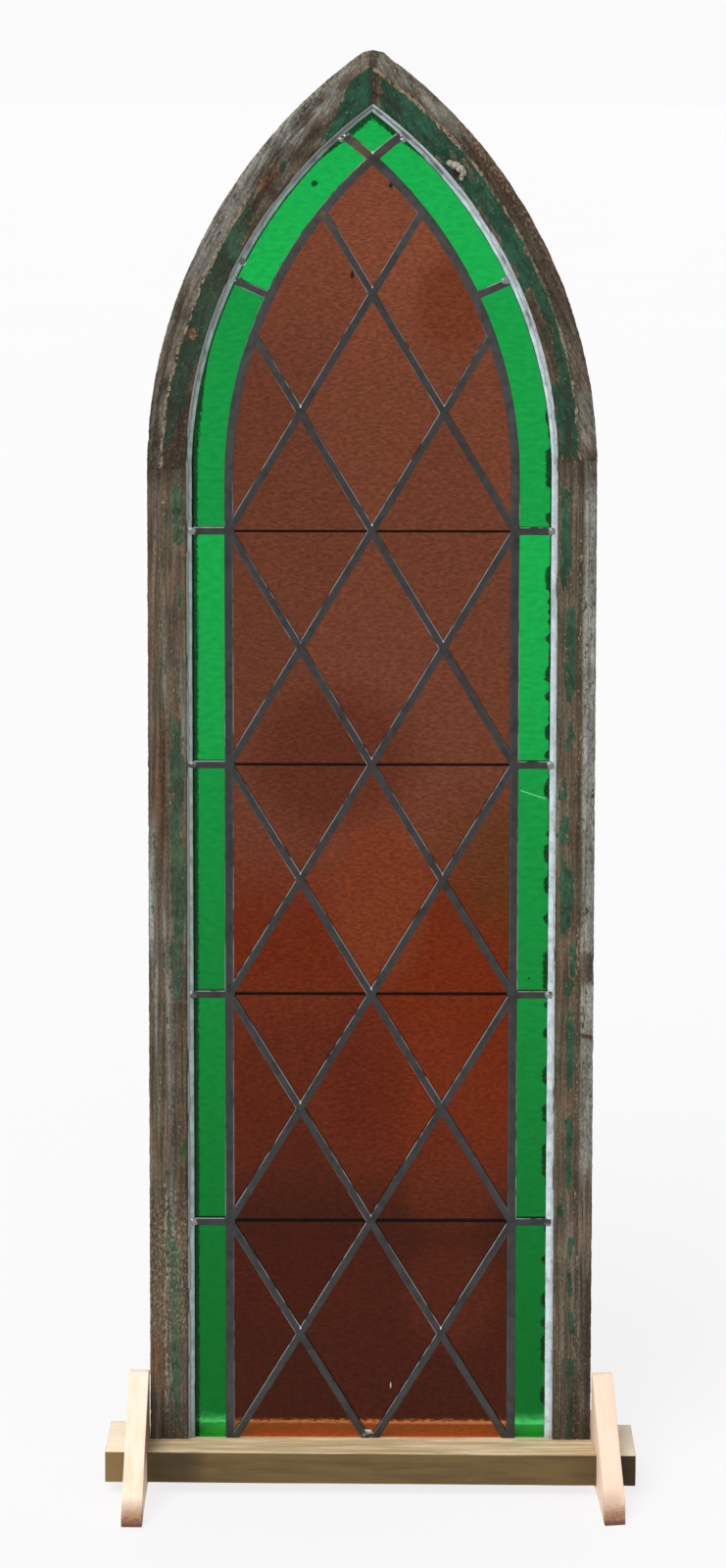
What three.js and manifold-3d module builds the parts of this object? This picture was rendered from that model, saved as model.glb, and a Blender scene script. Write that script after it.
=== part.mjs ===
// Pointed-arch leaded window in its timber frame, standing on a low timber display stand.
// Millimetres, +Z up, front faces -Y, floor at z = 0, centre line at x = 0.
import * as THREE from 'three';
import { mergeVertices } from 'three/addons/utils/BufferGeometryUtils.js';
import Module from 'manifold-3d';

const wasm = await Module();
wasm.setup();

// ---------------------------------------------------------------- driving dimensions

const GAP = 0.3;                 // clearance between neighbouring pieces
const ARC_STEPS = 24;            // facets along each side of an arch

// Every pointed arch here: half its width, how far each arc's centre lies past the centre
// line, and the height of that centre above the window's foot.
const FRAME_OUTER = { half: 300, reach: 384, spring: 1331 };
const FRAME_INNER = { half: 248, reach: 350, spring: 1336 };
const PERIMETER_LINE = { half: 238.5, reach: 370, spring: 1325 };
const BORDER_LINE = { half: 191, reach: 383, spring: 1320 };

const FRAME_DEPTH = 42;
const LIP = 8;                   // the rebate's lip behind the leaded panel
const SHOULDER_GAP = 0.4;        // clearance between the panel and that lip
const JOINT_HEIGHT = { left: 1334, right: 1346 };
const APEX_CUT = 1891.5;         // the worn, blunt tip of the frame

const PANEL_FRONT = 4;           // the lead stands this far behind the frame's face
const LEAD_DEPTH = 6;
const FLANGE = 1.2;              // thickness of the lead's front and back leaves
const HEART = 1.6;               // thickness of the lead web between two panes
const GLASS = 3;
const BORDER_FACE = 12;          // width of the came between green and amber
const LATTICE_FACE = 10;         // width of the diagonal and cross cames
const EDGE_CLEARANCE = 0.5;      // between the perimeter came and the frame
const EDGE_SLOT = 1.8;           // outer web of the perimeter came

const CROSS_HEIGHTS = [303, 618, 933, 1250];   // cross cames and saddle bars
const FOOT_NODE = -10;           // lattice crossing that the cut foot has lost
const TOP_NODE = 1568;           // highest lattice crossing
const LATTICE_HALF = BORDER_LINE.half / 2;
const RADIAL = { centreX: 370, centreZ: 1336, angle: THREE.MathUtils.degToRad(24.3) };
const GREEN_REACH = { low: 120, top: -30 };    // how far in a green pane's ends may run
const BORDER_OVERRUN = 60;       // how far each border line is drawn past the middle of the other

const BAR_THICK = 2.5;
const BAR_DEPTH = 5;
const BAR_HALF_LENGTH = 246;
const BAR_END_GAP = 0.5;
const BAR_DROP = 1.8;            // the bars sit this far below the cross leads
const BAR_HEIGHTS = CROSS_HEIGHTS.map((height) => height - BAR_DROP);

const BEAD_WIDTH = 3.2;
const BEAD_FRONT = 1.2;

const SHELF = { half: 358, front: -34.5, depth: 76.5, bottom: 17.5, top: 60 };
const STAND_TURN = -0.62;        // degrees; the stand sits slightly askew under the window

const FOOT_WIDTH = 27.8;
const FOOT_TOP = 154;
const FOOT_SLOPE = 0.75;         // run over rise of the sloping edge
const FOOT_LINE = 73;            // where that edge would pass shelf-top height
const HORN_BACK = 5;             // back face of the front horn
const REAR_LINE = 78;
const REAR_NOSE = 104;
const SOLE_PAD = 13;
const SOLE_RUN = 36;
const SOLE_RISE = 8;
const FEET = {
  left: { side: -1, inner: 301, nose: 109, yaw: 0 },
  right: { side: 1, inner: 301, nose: 98, yaw: THREE.MathUtils.degToRad(6.3) },
};

const FAR = 400;                 // reaches past the window on every side
const ABOVE_ALL = FRAME_OUTER.spring + 2 * FAR;

// ---------------------------------------------------------------- materials

function paint(colour, roughness, metalness = 0, opacity = 1) {
  const transparent = opacity < 1;
  return new THREE.MeshStandardMaterial({ color: colour, roughness, metalness, opacity, transparent });
}

const MATERIALS = {
  frame: () => paint(0x5a5646, 0.9),
  green: () => paint(0x149a44, 0.15, 0, 0.6),
  amber: () => paint(0x733823, 0.2, 0, 0.75),
  lead: () => paint(0x3c4146, 0.6, 0.6),
  edgeLead: () => paint(0x8d999c, 0.7, 0.4),
  bar: () => paint(0x2a2522, 0.7, 0.8),
  putty: () => paint(0xbcc3c6, 0.9),
  shelf: () => paint(0x8a734a, 0.8),
  pine: () => paint(0xe9d2b4, 0.75),
};

// ---------------------------------------------------------------- solids

function solidOf(geometry) {
  const bare = geometry.clone();
  bare.deleteAttribute('normal');
  bare.deleteAttribute('uv');
  const merged = mergeVertices(bare, 1e-4);
  const mesh = new wasm.Mesh({
    numProp: 3,
    vertProperties: new Float32Array(merged.attributes.position.array),
    triVerts: new Uint32Array(merged.index.array),
  });
  return new wasm.Manifold(mesh);
}

function geometryOf(solid) {
  const mesh = solid.getMesh();
  const geometry = new THREE.BufferGeometry();
  geometry.setAttribute('position', new THREE.BufferAttribute(mesh.vertProperties, 3));
  geometry.setIndex(new THREE.BufferAttribute(mesh.triVerts, 1));
  return geometry;
}

// A flat shape drawn in x and z, as a solid from y = front to y = back
function slab(points, front, back) {
  const shape = new THREE.Shape(points);
  const geometry = new THREE.ExtrudeGeometry(shape, { depth: back - front, bevelEnabled: false });
  geometry.rotateX(Math.PI / 2);
  geometry.translate(0, back, 0);
  return solidOf(geometry);
}

function box(x0, x1, y0, y1, z0, z1) {
  const geometry = new THREE.BoxGeometry(x1 - x0, y1 - y0, z1 - z0);
  geometry.translate((x0 + x1) / 2, (y0 + y1) / 2, (z0 + z1) / 2);
  return solidOf(geometry);
}

// ---------------------------------------------------------------- outlines

function mirrored(points) {
  return points.map((p) => new THREE.Vector2(-p.x, p.y)).reverse();
}

// Left side of an arch, from its foot up to where the arc meets x = endX
function leftSide(arch, foot, endX) {
  const radius = arch.half + arch.reach;
  const endAngle = Math.acos((endX - arch.reach) / radius);
  const points = [new THREE.Vector2(-arch.half, foot)];
  for (let i = 0; i <= ARC_STEPS; i += 1) {
    const angle = Math.PI + ((endAngle - Math.PI) * i) / ARC_STEPS;
    const x = arch.reach + radius * Math.cos(angle);
    const z = arch.spring + radius * Math.sin(angle);
    points.push(new THREE.Vector2(x, z));
  }
  return points;
}

function lancet(arch, foot = GAP) {
  const left = leftSide(arch, foot, 0);
  const right = mirrored(left);
  return [...left, ...right.slice(1)];
}

function widened(arch, amount) {
  return { ...arch, half: arch.half + amount };
}

// Everything on the inner side of one border line, carried on past the lines' crossing
function insideBorder(side, amount, foot) {
  const endX = BORDER_LINE.half + BORDER_OVERRUN;
  const left = leftSide(widened(BORDER_LINE, amount), foot, endX);
  const points = [...left, new THREE.Vector2(endX, foot)];
  return side < 0 ? points : mirrored(points);
}

// A convex outline moved inwards by the same distance on every edge
function insetOutline(points, distance) {
  const centre = points.reduce((sum, p) => sum.add(p), new THREE.Vector2()).divideScalar(points.length);
  const edges = points.map((a, i) => {
    const b = points[(i + 1) % points.length];
    const normal = new THREE.Vector2(b.y - a.y, a.x - b.x).normalize();
    if (normal.dot(centre.clone().sub(a)) < 0) normal.negate();
    return { normal, offset: normal.dot(a) + distance };
  });
  return edges.map((edge, i) => {
    const last = edges[(i + edges.length - 1) % edges.length];
    const cross = last.normal.x * edge.normal.y - last.normal.y * edge.normal.x;
    const x = (last.offset * edge.normal.y - edge.offset * last.normal.y) / cross;
    const z = (edge.offset * last.normal.x - last.offset * edge.normal.x) / cross;
    return new THREE.Vector2(x, z);
  });
}

// ---------------------------------------------------------------- the leaded panel's cells

const ROWS = [FOOT_NODE, ...CROSS_HEIGHTS, TOP_NODE];
const MIDS = ROWS.slice(1).map((row, i) => (row + ROWS[i]) / 2);
const TOP_RISE = TOP_NODE - MIDS[MIDS.length - 1];

// Diamond of the lattice about one of its cells' centres
function diamond(column, low, middle, high) {
  const x = column * LATTICE_HALF;
  return [
    new THREE.Vector2(x, low),
    new THREE.Vector2(x + LATTICE_HALF, middle),
    new THREE.Vector2(x, high),
    new THREE.Vector2(x - LATTICE_HALF, middle),
  ];
}

function amberField(inset, front, back) {
  const left = slab(insideBorder(-1, -inset, GAP), front, back);
  return left.intersect(slab(insideBorder(1, -inset, GAP), front, back));
}

function amberCell(name, outline) {
  const make = ({ inset, border, front, back }) => {
    const whole = slab(insetOutline(outline, inset), front, back);
    return whole.intersect(amberField(border, front, back));
  };
  return { name, make, material: 'amber' };
}

function amberCells() {
  const cells = [];
  MIDS.forEach((middle, i) => {
    const edge = diamond(2, ROWS[i], middle, ROWS[i + 1]);
    cells.push(amberCell(`glass_amber_centre_${i + 1}`, diamond(0, ROWS[i], middle, ROWS[i + 1])));
    cells.push(amberCell(`glass_amber_edge_right_${i + 1}`, edge));
    cells.push(amberCell(`glass_amber_edge_left_${i + 1}`, mirrored(edge)));
  });
  const crown = diamond(0, TOP_NODE, TOP_NODE + TOP_RISE, TOP_NODE + 2 * TOP_RISE);
  cells.push(amberCell(`glass_amber_centre_${ROWS.length}`, crown));
  ROWS.forEach((row, i) => {
    const low = i > 0 ? MIDS[i - 1] : 2 * row - MIDS[0];
    const high = i < MIDS.length ? MIDS[i] : row + TOP_RISE;
    const right = diamond(1, low, row, high);
    cells.push(amberCell(`glass_amber_right_${i + 1}`, right));
    cells.push(amberCell(`glass_amber_left_${i + 1}`, mirrored(right)));
  });
  return cells;
}

// Height of the radial cross came's centre line at x, on the right-hand side
function radialHeight(x) {
  return RADIAL.centreZ + (RADIAL.centreX + x) * Math.tan(RADIAL.angle);
}

function greenBand(side, border, outline, front, back) {
  const own = slab(insideBorder(side, border, -FAR), front - 1, back + 1);
  const other = slab(insideBorder(-side, -border, -FAR), front - 1, back + 1);
  return slab(lancet(outline), front, back).subtract(own).intersect(other);
}

// Height at x of a line that ends a green pane, moved up or down by an inset
function endHeight(line, x, inset) {
  if (line === 'foot') return 0;
  if (line === 'crossing') return ABOVE_ALL;
  if (line === 'radial') return radialHeight(x) + inset / Math.cos(RADIAL.angle);
  return line + inset;
}

// One pane of the green border between two cross cames
function greenCell(side, number, low, high) {
  const make = ({ inset, border, outline, front, back }) => {
    const inner = high === 'crossing' ? GREEN_REACH.top : GREEN_REACH.low;
    const outer = FRAME_OUTER.half;
    const points = [
      new THREE.Vector2(inner, endHeight(low, inner, inset)),
      new THREE.Vector2(outer, endHeight(low, outer, inset)),
      new THREE.Vector2(outer, endHeight(high, outer, -inset)),
      new THREE.Vector2(inner, endHeight(high, inner, -inset)),
    ];
    const stretch = slab(side > 0 ? points : mirrored(points), front - 1, back + 1);
    return greenBand(side, border, outline, front, back).intersect(stretch);
  };
  return { name: `glass_green_${side < 0 ? 'left' : 'right'}_${number}`, make, material: 'green' };
}

function greenCrown() {
  const make = ({ border, outline, front, back }) => {
    const left = slab(insideBorder(-1, border, -FAR), front - 1, back + 1);
    const right = slab(insideBorder(1, border, -FAR), front - 1, back + 1);
    const above = box(-FAR, FAR, front - 1, back + 1, TOP_NODE, ABOVE_ALL);
    return slab(lancet(outline), front, back).subtract(left).subtract(right).intersect(above);
  };
  return { name: 'glass_green_crown', make, material: 'green' };
}

function greenCells() {
  const lines = ['foot', ...CROSS_HEIGHTS, 'radial', 'crossing'];
  const cells = [greenCrown()];
  [-1, 1].forEach((side) => {
    lines.slice(1).forEach((high, i) => cells.push(greenCell(side, i + 1, lines[i], high)));
  });
  return cells;
}

const CELLS = [...greenCells(), ...amberCells()];
const PANEL_BACK = PANEL_FRONT + LEAD_DEPTH;
const GLASS_FRONT = PANEL_FRONT + (LEAD_DEPTH - GLASS) / 2;
const EDGE_CAME_OUTER = widened(FRAME_INNER, -EDGE_CLEARANCE);
const PANE_LIMIT = widened(EDGE_CAME_OUTER, -EDGE_SLOT);

// The glass itself, let into the lead as far as its heart
function paneSolid(cell) {
  const inset = HEART / 2 + GAP;
  const outline = widened(PANE_LIMIT, -GAP);
  return cell.make({ inset, border: inset, outline, front: GLASS_FRONT, back: GLASS_FRONT + GLASS });
}

// The groove that a pane sits in, cut into the lead on all sides
function grooveSolid(cell) {
  const inset = HEART / 2;
  const front = PANEL_FRONT + FLANGE;
  return cell.make({ inset, border: inset, outline: PANE_LIMIT, front, back: PANEL_BACK - FLANGE });
}

// The part of a pane that no lead covers
function openingSolid(cell) {
  const inset = LATTICE_FACE / 2;
  const border = BORDER_FACE / 2;
  const outline = PANE_LIMIT;
  return cell.make({ inset, border, outline, front: PANEL_FRONT - 1, back: PANEL_BACK + 1 });
}

function cameNet() {
  let net = slab(lancet(widened(PERIMETER_LINE, -GAP)), PANEL_FRONT, PANEL_BACK);
  CELLS.forEach((cell) => {
    net = net.subtract(openingSolid(cell)).subtract(grooveSolid(cell));
  });
  return net;
}

// The half of a solid on one side of the mitre at the centre line
function halfOf(solid, side) {
  const near = GAP / 2;
  const x0 = side < 0 ? -FAR : near;
  const x1 = side < 0 ? -near : FAR;
  return solid.intersect(box(x0, x1, -FAR, FAR, -FAR, ABOVE_ALL));
}

function perimeterCame() {
  const whole = slab(lancet(EDGE_CAME_OUTER), PANEL_FRONT, PANEL_BACK);
  const sight = slab(lancet(PERIMETER_LINE, -FAR), PANEL_FRONT - 1, PANEL_BACK + 1);
  const groove = slab(lancet(PANE_LIMIT, -FAR), PANEL_FRONT + FLANGE, PANEL_BACK - FLANGE);
  return whole.subtract(sight).subtract(groove);
}

function puttyBead() {
  const outer = slab(lancet(widened(FRAME_INNER, -GAP)), BEAD_FRONT, PANEL_FRONT - GAP);
  return outer.subtract(slab(lancet(widened(FRAME_INNER, -GAP - BEAD_WIDTH), -FAR), 0, PANEL_FRONT));
}

function saddleBar(height) {
  const half = BAR_THICK / 2;
  const front = PANEL_BACK + GAP;
  return box(-BAR_HALF_LENGTH, BAR_HALF_LENGTH, front, front + BAR_DEPTH, height - half, height + half);
}

// ---------------------------------------------------------------- the timber frame

function frameRing() {
  const shoulder = PANEL_BACK + SHOULDER_GAP;
  let ring = slab(lancet(FRAME_OUTER), 0, FRAME_DEPTH);
  ring = ring.subtract(slab(lancet(FRAME_INNER, -FAR), -1, shoulder));
  ring = ring.subtract(slab(lancet(widened(FRAME_INNER, -LIP), -FAR), -1, FRAME_DEPTH + 1));
  BAR_HEIGHTS.forEach((height) => {
    const reach = BAR_HALF_LENGTH + BAR_END_GAP;
    const half = BAR_THICK / 2 + GAP;
    const back = PANEL_BACK + BAR_DEPTH + 2 * GAP;
    ring = ring.subtract(box(-reach, reach, shoulder - 1, back, height - half, height + half));
  });
  return ring.subtract(box(-FAR, FAR, -1, FRAME_DEPTH + 1, APEX_CUT, APEX_CUT + FAR));
}

function frameMembers() {
  const ring = frameRing();
  const members = {};
  [['left', -1], ['right', 1]].forEach(([name, side]) => {
    const half = halfOf(ring, side);
    const joint = JOINT_HEIGHT[name];
    const below = box(-FAR, FAR, -FAR, FAR, -FAR, joint - GAP / 2);
    const above = box(-FAR, FAR, -FAR, FAR, joint + GAP / 2, ABOVE_ALL);
    members[`frame_stile_${name}`] = half.intersect(below);
    members[`frame_arch_${name}`] = half.intersect(above);
  });
  return members;
}

// ---------------------------------------------------------------- the stand

// Side view of a foot as [forward, height] points, before the shelf's notch is cut
function footProfile(nose) {
  const slopeAt = (forward, line) => SHELF.top + (line - forward) / FOOT_SLOPE;
  const topForward = FOOT_LINE - (FOOT_TOP - SHELF.top) * FOOT_SLOPE;
  return [
    [nose, 0],
    [nose, slopeAt(nose, FOOT_LINE)],
    [topForward, FOOT_TOP],
    [-HORN_BACK, FOOT_TOP],
    [-HORN_BACK, SHELF.top],
    [-REAR_LINE, SHELF.top],
    [-REAR_NOSE, slopeAt(REAR_NOSE, REAR_LINE)],
    [-REAR_NOSE, 0],
    [-REAR_NOSE + SOLE_PAD, 0],
    [-REAR_NOSE + SOLE_PAD + SOLE_RUN, SOLE_RISE],
    [nose - SOLE_PAD - SOLE_RUN, SOLE_RISE],
    [nose - SOLE_PAD, 0],
  ];
}

function foot({ side, inner, nose, yaw }) {
  const points = footProfile(nose).map(([forward, z]) => new THREE.Vector2(-forward, z));
  const shape = new THREE.Shape(points);
  const geometry = new THREE.ExtrudeGeometry(shape, { depth: FOOT_WIDTH, bevelEnabled: false });
  const alongX = new THREE.Matrix4().set(0, 0, 1, 0, 1, 0, 0, 0, 0, 1, 0, 0, 0, 0, 0, 1);
  geometry.applyMatrix4(alongX);
  geometry.translate(side < 0 ? -FOOT_WIDTH : 0, 0, 0);
  geometry.rotateZ(side * yaw);
  geometry.translate(side * inner, 0, 0);
  const shelfBack = SHELF.front + SHELF.depth;
  const notch = box(-FAR, FAR, SHELF.front - GAP, shelfBack + GAP, SHELF.bottom - GAP, SHELF.top + GAP);
  return solidOf(geometry).subtract(notch);
}

function shelf() {
  const back = SHELF.front + SHELF.depth;
  return box(-SHELF.half, SHELF.half, SHELF.front, back, SHELF.bottom, SHELF.top);
}

// ---------------------------------------------------------------- assembly

function addPiece(group, name, solid, material) {
  const mesh = new THREE.Mesh(geometryOf(solid), MATERIALS[material]());
  mesh.name = name;
  group.add(mesh);
}

function windowGroup() {
  const group = new THREE.Group();
  Object.entries(frameMembers()).forEach(([name, solid]) => addPiece(group, name, solid, 'frame'));
  CELLS.forEach((cell) => addPiece(group, cell.name, paneSolid(cell), cell.material));
  addPiece(group, 'came_net', cameNet(), 'lead');
  const came = perimeterCame();
  const bead = puttyBead();
  [['left', -1], ['right', 1]].forEach(([name, side]) => {
    addPiece(group, `came_perimeter_${name}`, halfOf(came, side), 'edgeLead');
    addPiece(group, `putty_bead_${name}`, halfOf(bead, side), 'putty');
  });
  BAR_HEIGHTS.forEach((height, i) => addPiece(group, `saddle_bar_${i + 1}`, saddleBar(height), 'bar'));
  group.position.z = SHELF.top;
  return group;
}

const turned = (solid) => solid.rotate([0, 0, STAND_TURN]);

function standGroup() {
  const group = new THREE.Group();
  addPiece(group, 'stand_shelf', turned(shelf()), 'shelf');
  Object.entries(FEET).forEach(([name, sizes]) => {
    addPiece(group, `stand_foot_${name}`, turned(foot(sizes)), 'pine');
  });
  return group;
}

const stainedGlassWindow = new THREE.Group();
stainedGlassWindow.add(windowGroup(), standGroup());

export default stainedGlassWindow;
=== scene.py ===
"""Looks for the stained glass window: weathered timber, rounded leads, rippled glass and a pine stand."""

import math
from collections import namedtuple

import bmesh
import bpy
from bpy.props import FloatProperty, FloatVectorProperty, PointerProperty
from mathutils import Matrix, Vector, noise


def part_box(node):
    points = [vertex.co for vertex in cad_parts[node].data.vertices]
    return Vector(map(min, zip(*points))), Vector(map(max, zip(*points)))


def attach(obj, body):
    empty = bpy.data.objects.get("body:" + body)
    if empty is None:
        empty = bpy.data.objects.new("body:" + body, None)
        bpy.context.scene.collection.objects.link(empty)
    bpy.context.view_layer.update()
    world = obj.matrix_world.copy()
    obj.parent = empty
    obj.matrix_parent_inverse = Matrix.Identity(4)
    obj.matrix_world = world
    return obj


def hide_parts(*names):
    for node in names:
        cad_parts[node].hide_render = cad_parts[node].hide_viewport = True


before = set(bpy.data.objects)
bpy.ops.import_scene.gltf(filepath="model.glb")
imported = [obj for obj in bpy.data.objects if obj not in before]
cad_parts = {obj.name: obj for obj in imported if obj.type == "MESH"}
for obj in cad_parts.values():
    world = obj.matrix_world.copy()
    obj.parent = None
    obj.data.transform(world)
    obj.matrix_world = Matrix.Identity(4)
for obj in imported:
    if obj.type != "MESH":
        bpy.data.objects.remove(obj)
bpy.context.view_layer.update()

bl_info = {
    "name": "Stained Glass Window",
    "version": (1, 0, 0),
    "blender": (4, 5, 0),
    "location": "View3D > Sidebar > Window",
    "description": "Makes the looks of a leaded lancet window on its stand around the packed model",
    "category": "Add Mesh",
}

MM = 0.001

# ---------------------------------------------------------------- sizes

# A pointed arch: its half width, how far past the middle its arc's centre lies, and its springing
Arch = namedtuple("Arch", "half reach spring")


def arch_of(half, reach, spring):
    """An arch from millimetres, with its springing over the window's foot."""
    return Arch(half * MM, reach * MM, spring * MM + LIFT)


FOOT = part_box("frame_stile_left")[0].z           # the window's foot, on the shelf
LIFT = 60 * MM                                   # top of the shelf
FRAME_OUTER = arch_of(300, 384, 1331)
FRAME_INNER = arch_of(248, 350, 1336)
CAME_OUTER = arch_of(247.5, 350, 1336)
CAME_INNER = arch_of(238.5, 370, 1325)
BEAD_OUTER = arch_of(247.7, 350, 1336)
BEAD_INNER = arch_of(244.5, 350, 1336)
BORDER = arch_of(191, 383, 1320)

FRAME_DEPTH = 42 * MM
FRAME_WIDTH = 52 * MM
LIP = 8 * MM
SHOULDER = 10.4 * MM
APEX_TOP = 1891.5 * MM + LIFT
JOINTS = {"left": 1334 * MM + LIFT, "right": 1346 * MM + LIFT}
MITRE = 0.03 * MM                                # gap left at the middle of a mitre
GAP = 0.15 * MM                                  # gap left at the joint of stile and arch

CROSS_HEIGHTS = [z * MM + LIFT for z in (303, 618, 933, 1250)]
FOOT_NODE = -10 * MM + LIFT
TOP_NODE = 1568 * MM + LIFT
LATTICE_HALF = 95.5 * MM
NET_FACE = 4 * MM                                # depth of the net's flat face in the solids
CROSSING = BORDER.spring + math.sqrt((BORDER.half + BORDER.reach) ** 2 - BORDER.reach ** 2)

SIDES = {"left": -1, "right": 1}
STEPS_ALONG = {"stile": 640, "arch": 400, "came": 520, "bead": 640}


def tint(red, green, blue):
    """A colour given in 0-255 steps, as the linear values that a shader takes."""
    return tuple(((c / 255 + 0.055) / 1.055) ** 2.4 if c > 10 else c / 3295 for c in (red, green, blue))


def colour_setting(name, description, colour):
    return FloatVectorProperty(name=name, description=description, subtype="COLOR", size=3,
                               min=0.0, max=1.0, default=colour)


def length_setting(name, description, millimetres):
    return FloatProperty(name=name, description=description, subtype="DISTANCE", unit="LENGTH",
                         min=0.0, default=millimetres * MM)


class TimberSettings(bpy.types.PropertyGroup):
    """Old frame timber and what is left of its paint"""
    relief: length_setting("Relief", "Depth of the weathered grain", 0.7)
    ridge: length_setting("Mortar ridge", "Height of the mortar left on the frame", 1.8)
    brown: colour_setting("Brown wood", "Bare brown wood", tint(108, 91, 74))
    olive: colour_setting("Olive wood", "Wood with an olive film of dirt", tint(98, 89, 72))
    silver: colour_setting("Silvered wood", "Wood silvered by the weather", tint(152, 154, 146))
    dark: colour_setting("Dark wood", "Damp wood and painted shade", tint(46, 36, 29))
    split: colour_setting("Splits", "Fine splits in the wood", tint(28, 21, 17))
    rust: colour_setting("Rust", "Orange-brown stains", tint(112, 72, 44))
    pale: colour_setting("Crumbs", "Pale crumbs of mortar and bare raised grain", tint(156, 144, 120))
    dull_paint: colour_setting("Dull paint", "Green paint dulled by dirt", tint(72, 86, 64))
    clean_paint: colour_setting("Clean paint", "Green paint where it is clean", tint(34, 78, 58))


class LeadSettings(bpy.types.PropertyGroup):
    """Leads, solder and glazing putty"""
    crown: length_setting("Crown", "How far the middle of a lead stands over its edges", 1.3)
    solder: length_setting("Solder", "Radius of a soldered joint", 8.0)
    lead: colour_setting("Lead", "Dull blue-grey lead", tint(70, 70, 70))
    # Bright solder, also the colour of the painted highlights on the leads
    solder_and_highlight: colour_setting("Solder and highlights", "Brighter solder", tint(206, 208, 208))
    edge_left: colour_setting("Left edge lead", "Pale oxide on the left outer lead", tint(142, 160, 158))
    edge_right: colour_setting("Right edge lead", "Pale oxide on the right outer lead", tint(200, 214, 219))
    lead_film: colour_setting("Brown film", "Brown film on parts of the leads", tint(112, 92, 58))
    putty_left: colour_setting("Left putty", "Dirty glazing putty on the left", tint(128, 130, 124))
    putty_right: colour_setting("Right putty", "Pale glazing putty on the right", tint(182, 190, 190))


class GlassSettings(bpy.types.PropertyGroup):
    """The two glasses"""
    green: colour_setting("Green", "Emerald border glass", tint(18, 175, 76))
    # Green in painted shade, which the border glass darkens to towards the foot
    shaded_green: colour_setting("Deep green", "Border glass in painted shade towards the foot", tint(7, 111, 38))
    amber: colour_setting("Amber", "Dense amber glass", tint(112, 60, 39))
    # Amber in painted shade towards the foot; the seeds in the glass take it too
    umber: colour_setting("Umber", "Darker amber glass towards the foot", tint(70, 26, 10))
    ember: colour_setting("Ember", "Where the amber glows red", tint(110, 37, 4))
    olive: colour_setting("Olive", "Where the amber turns olive", tint(92, 50, 20))
    lit_green: colour_setting("Green at the foot", "Border glass that the shelf lights", tint(88, 232, 118))
    lit_amber: colour_setting("Amber at the foot", "Amber glass that the shelf lights", tint(206, 124, 68))
    dirt: colour_setting("Dirt", "Dirt along the outer lead", tint(6, 30, 14))
    left_tone: FloatProperty(name="Left panes", description="Lightness of the left amber panes",
                             min=0.0, default=0.88)
    ripple: length_setting("Ripple", "Depth of the ripples in the surface", 0.35)


class StandSettings(bpy.types.PropertyGroup):
    """Timber of the stand"""
    rounding: length_setting("Rounding", "Radius worn on the arrises", 1.4)
    shelf: colour_setting("Treated timber", "Olive-brown stain on the shelf's sides", tint(108, 88, 52))
    # The top of the shelf, lighter than its sides as painted light from above
    shelf_top: colour_setting("Lit top", "Top of the shelf, lighter than its sides as painted light", tint(226, 203, 170))
    shelf_dark: colour_setting("Treated timber, dark", "Dark stain on the shelf", tint(84, 66, 42))
    pine: colour_setting("Pine", "Clean pale pine of the feet", tint(251, 229, 207))
    end_grain: colour_setting("End grain", "Sawn end of the feet", tint(178, 132, 96))


class StageSettings(bpy.types.PropertyGroup):
    """Floor and light"""
    floor: colour_setting("Floor", "Pale studio floor", (0.150, 0.1484, 0.1493))
    glow: FloatProperty(name="Floor glow", description="Light that comes up through the floor",
                        min=0.0, default=5.36)
    ambient: FloatProperty(name="Ambient", description="Strength of the soft light from all round",
                           min=0.0, default=0.64)
    backdrop: FloatProperty(name="Backdrop", description="Brightness of the plain backdrop",
                            min=0.0, default=0.985)
    sun: FloatProperty(name="Key", description="Strength of the soft key light", min=0.0, default=1.95)


SETTINGS = {
    "window_timber": TimberSettings,
    "window_lead": LeadSettings,
    "window_glass": GlassSettings,
    "window_stand": StandSettings,
    "window_stage": StageSettings,
}

# ---------------------------------------------------------------- mesh helpers


def made_object(bm, name, material):
    """An object in the scene from a bmesh, which is used up."""
    mesh = bpy.data.meshes.new(name)
    bm.to_mesh(mesh)
    bm.free()
    mesh.materials.append(material)
    piece = bpy.data.objects.new(name, mesh)
    bpy.context.scene.collection.objects.link(piece)
    return piece


def finished(bm, name, replaced, material):
    """Turns a bmesh into a piece that rides on the window and stands for its solids."""
    piece = made_object(bm, name, material)
    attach(piece, "root")
    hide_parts(*replaced)
    return piece


def copy_of(node):
    """A node's mesh with its loose triangles merged."""
    bm = bmesh.new()
    bm.from_mesh(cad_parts[node].data)
    bmesh.ops.remove_doubles(bm, verts=bm.verts, dist=0.01 * MM)
    return bm


def whole_faces(bm):
    """Makes each flat face of a simple board one face."""
    bmesh.ops.dissolve_limit(bm, angle_limit=math.radians(0.4), verts=bm.verts, edges=bm.edges)


def smooth_faces(bm, angle):
    """Smooth shading, with the edges sharper than an angle kept crisp."""
    for face in bm.faces:
        face.smooth = True
    for edge in bm.edges:
        if len(edge.link_faces) == 2 and edge.calc_face_angle(0) > math.radians(angle):
            edge.smooth = False


def step(value, low, high):
    """0 below low, 1 above high, and a smooth slope between; low may be the larger."""
    share = min(1.0, max(0.0, (value - low) / (high - low)))
    return share * share * (3 - 2 * share)


def mix(first, second, share):
    return first + (second - first) * share


def rough(x, y, z, scale, octaves=3):
    """Fractal noise, about -1 to 1, for a feature size in the same unit as the place."""
    return noise.fractal(Vector((x, y, z)) / scale, 1.0, 2.0, octaves)


# ---------------------------------------------------------------- lines of the arch


def round_arc(arch, share, low):
    """Point on the left arc from a height up to the mitre at the middle, as (x, z)."""
    radius = arch.half + arch.reach
    start = math.asin((low - arch.spring) / radius)
    end = math.acos((arch.reach + MITRE) / radius)
    angle = mix(start, end, share)
    return arch.reach - radius * math.cos(angle), arch.spring + radius * math.sin(angle)


def arc_length(arch, low):
    radius = arch.half + arch.reach
    return radius * (math.acos((arch.reach + MITRE) / radius) - math.asin((low - arch.spring) / radius))


TRIM_LENGTH = 1.98                               # run of a lead or bead up one side
TRIM_SPLIT = 0.672                               # share of it that is straight


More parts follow.
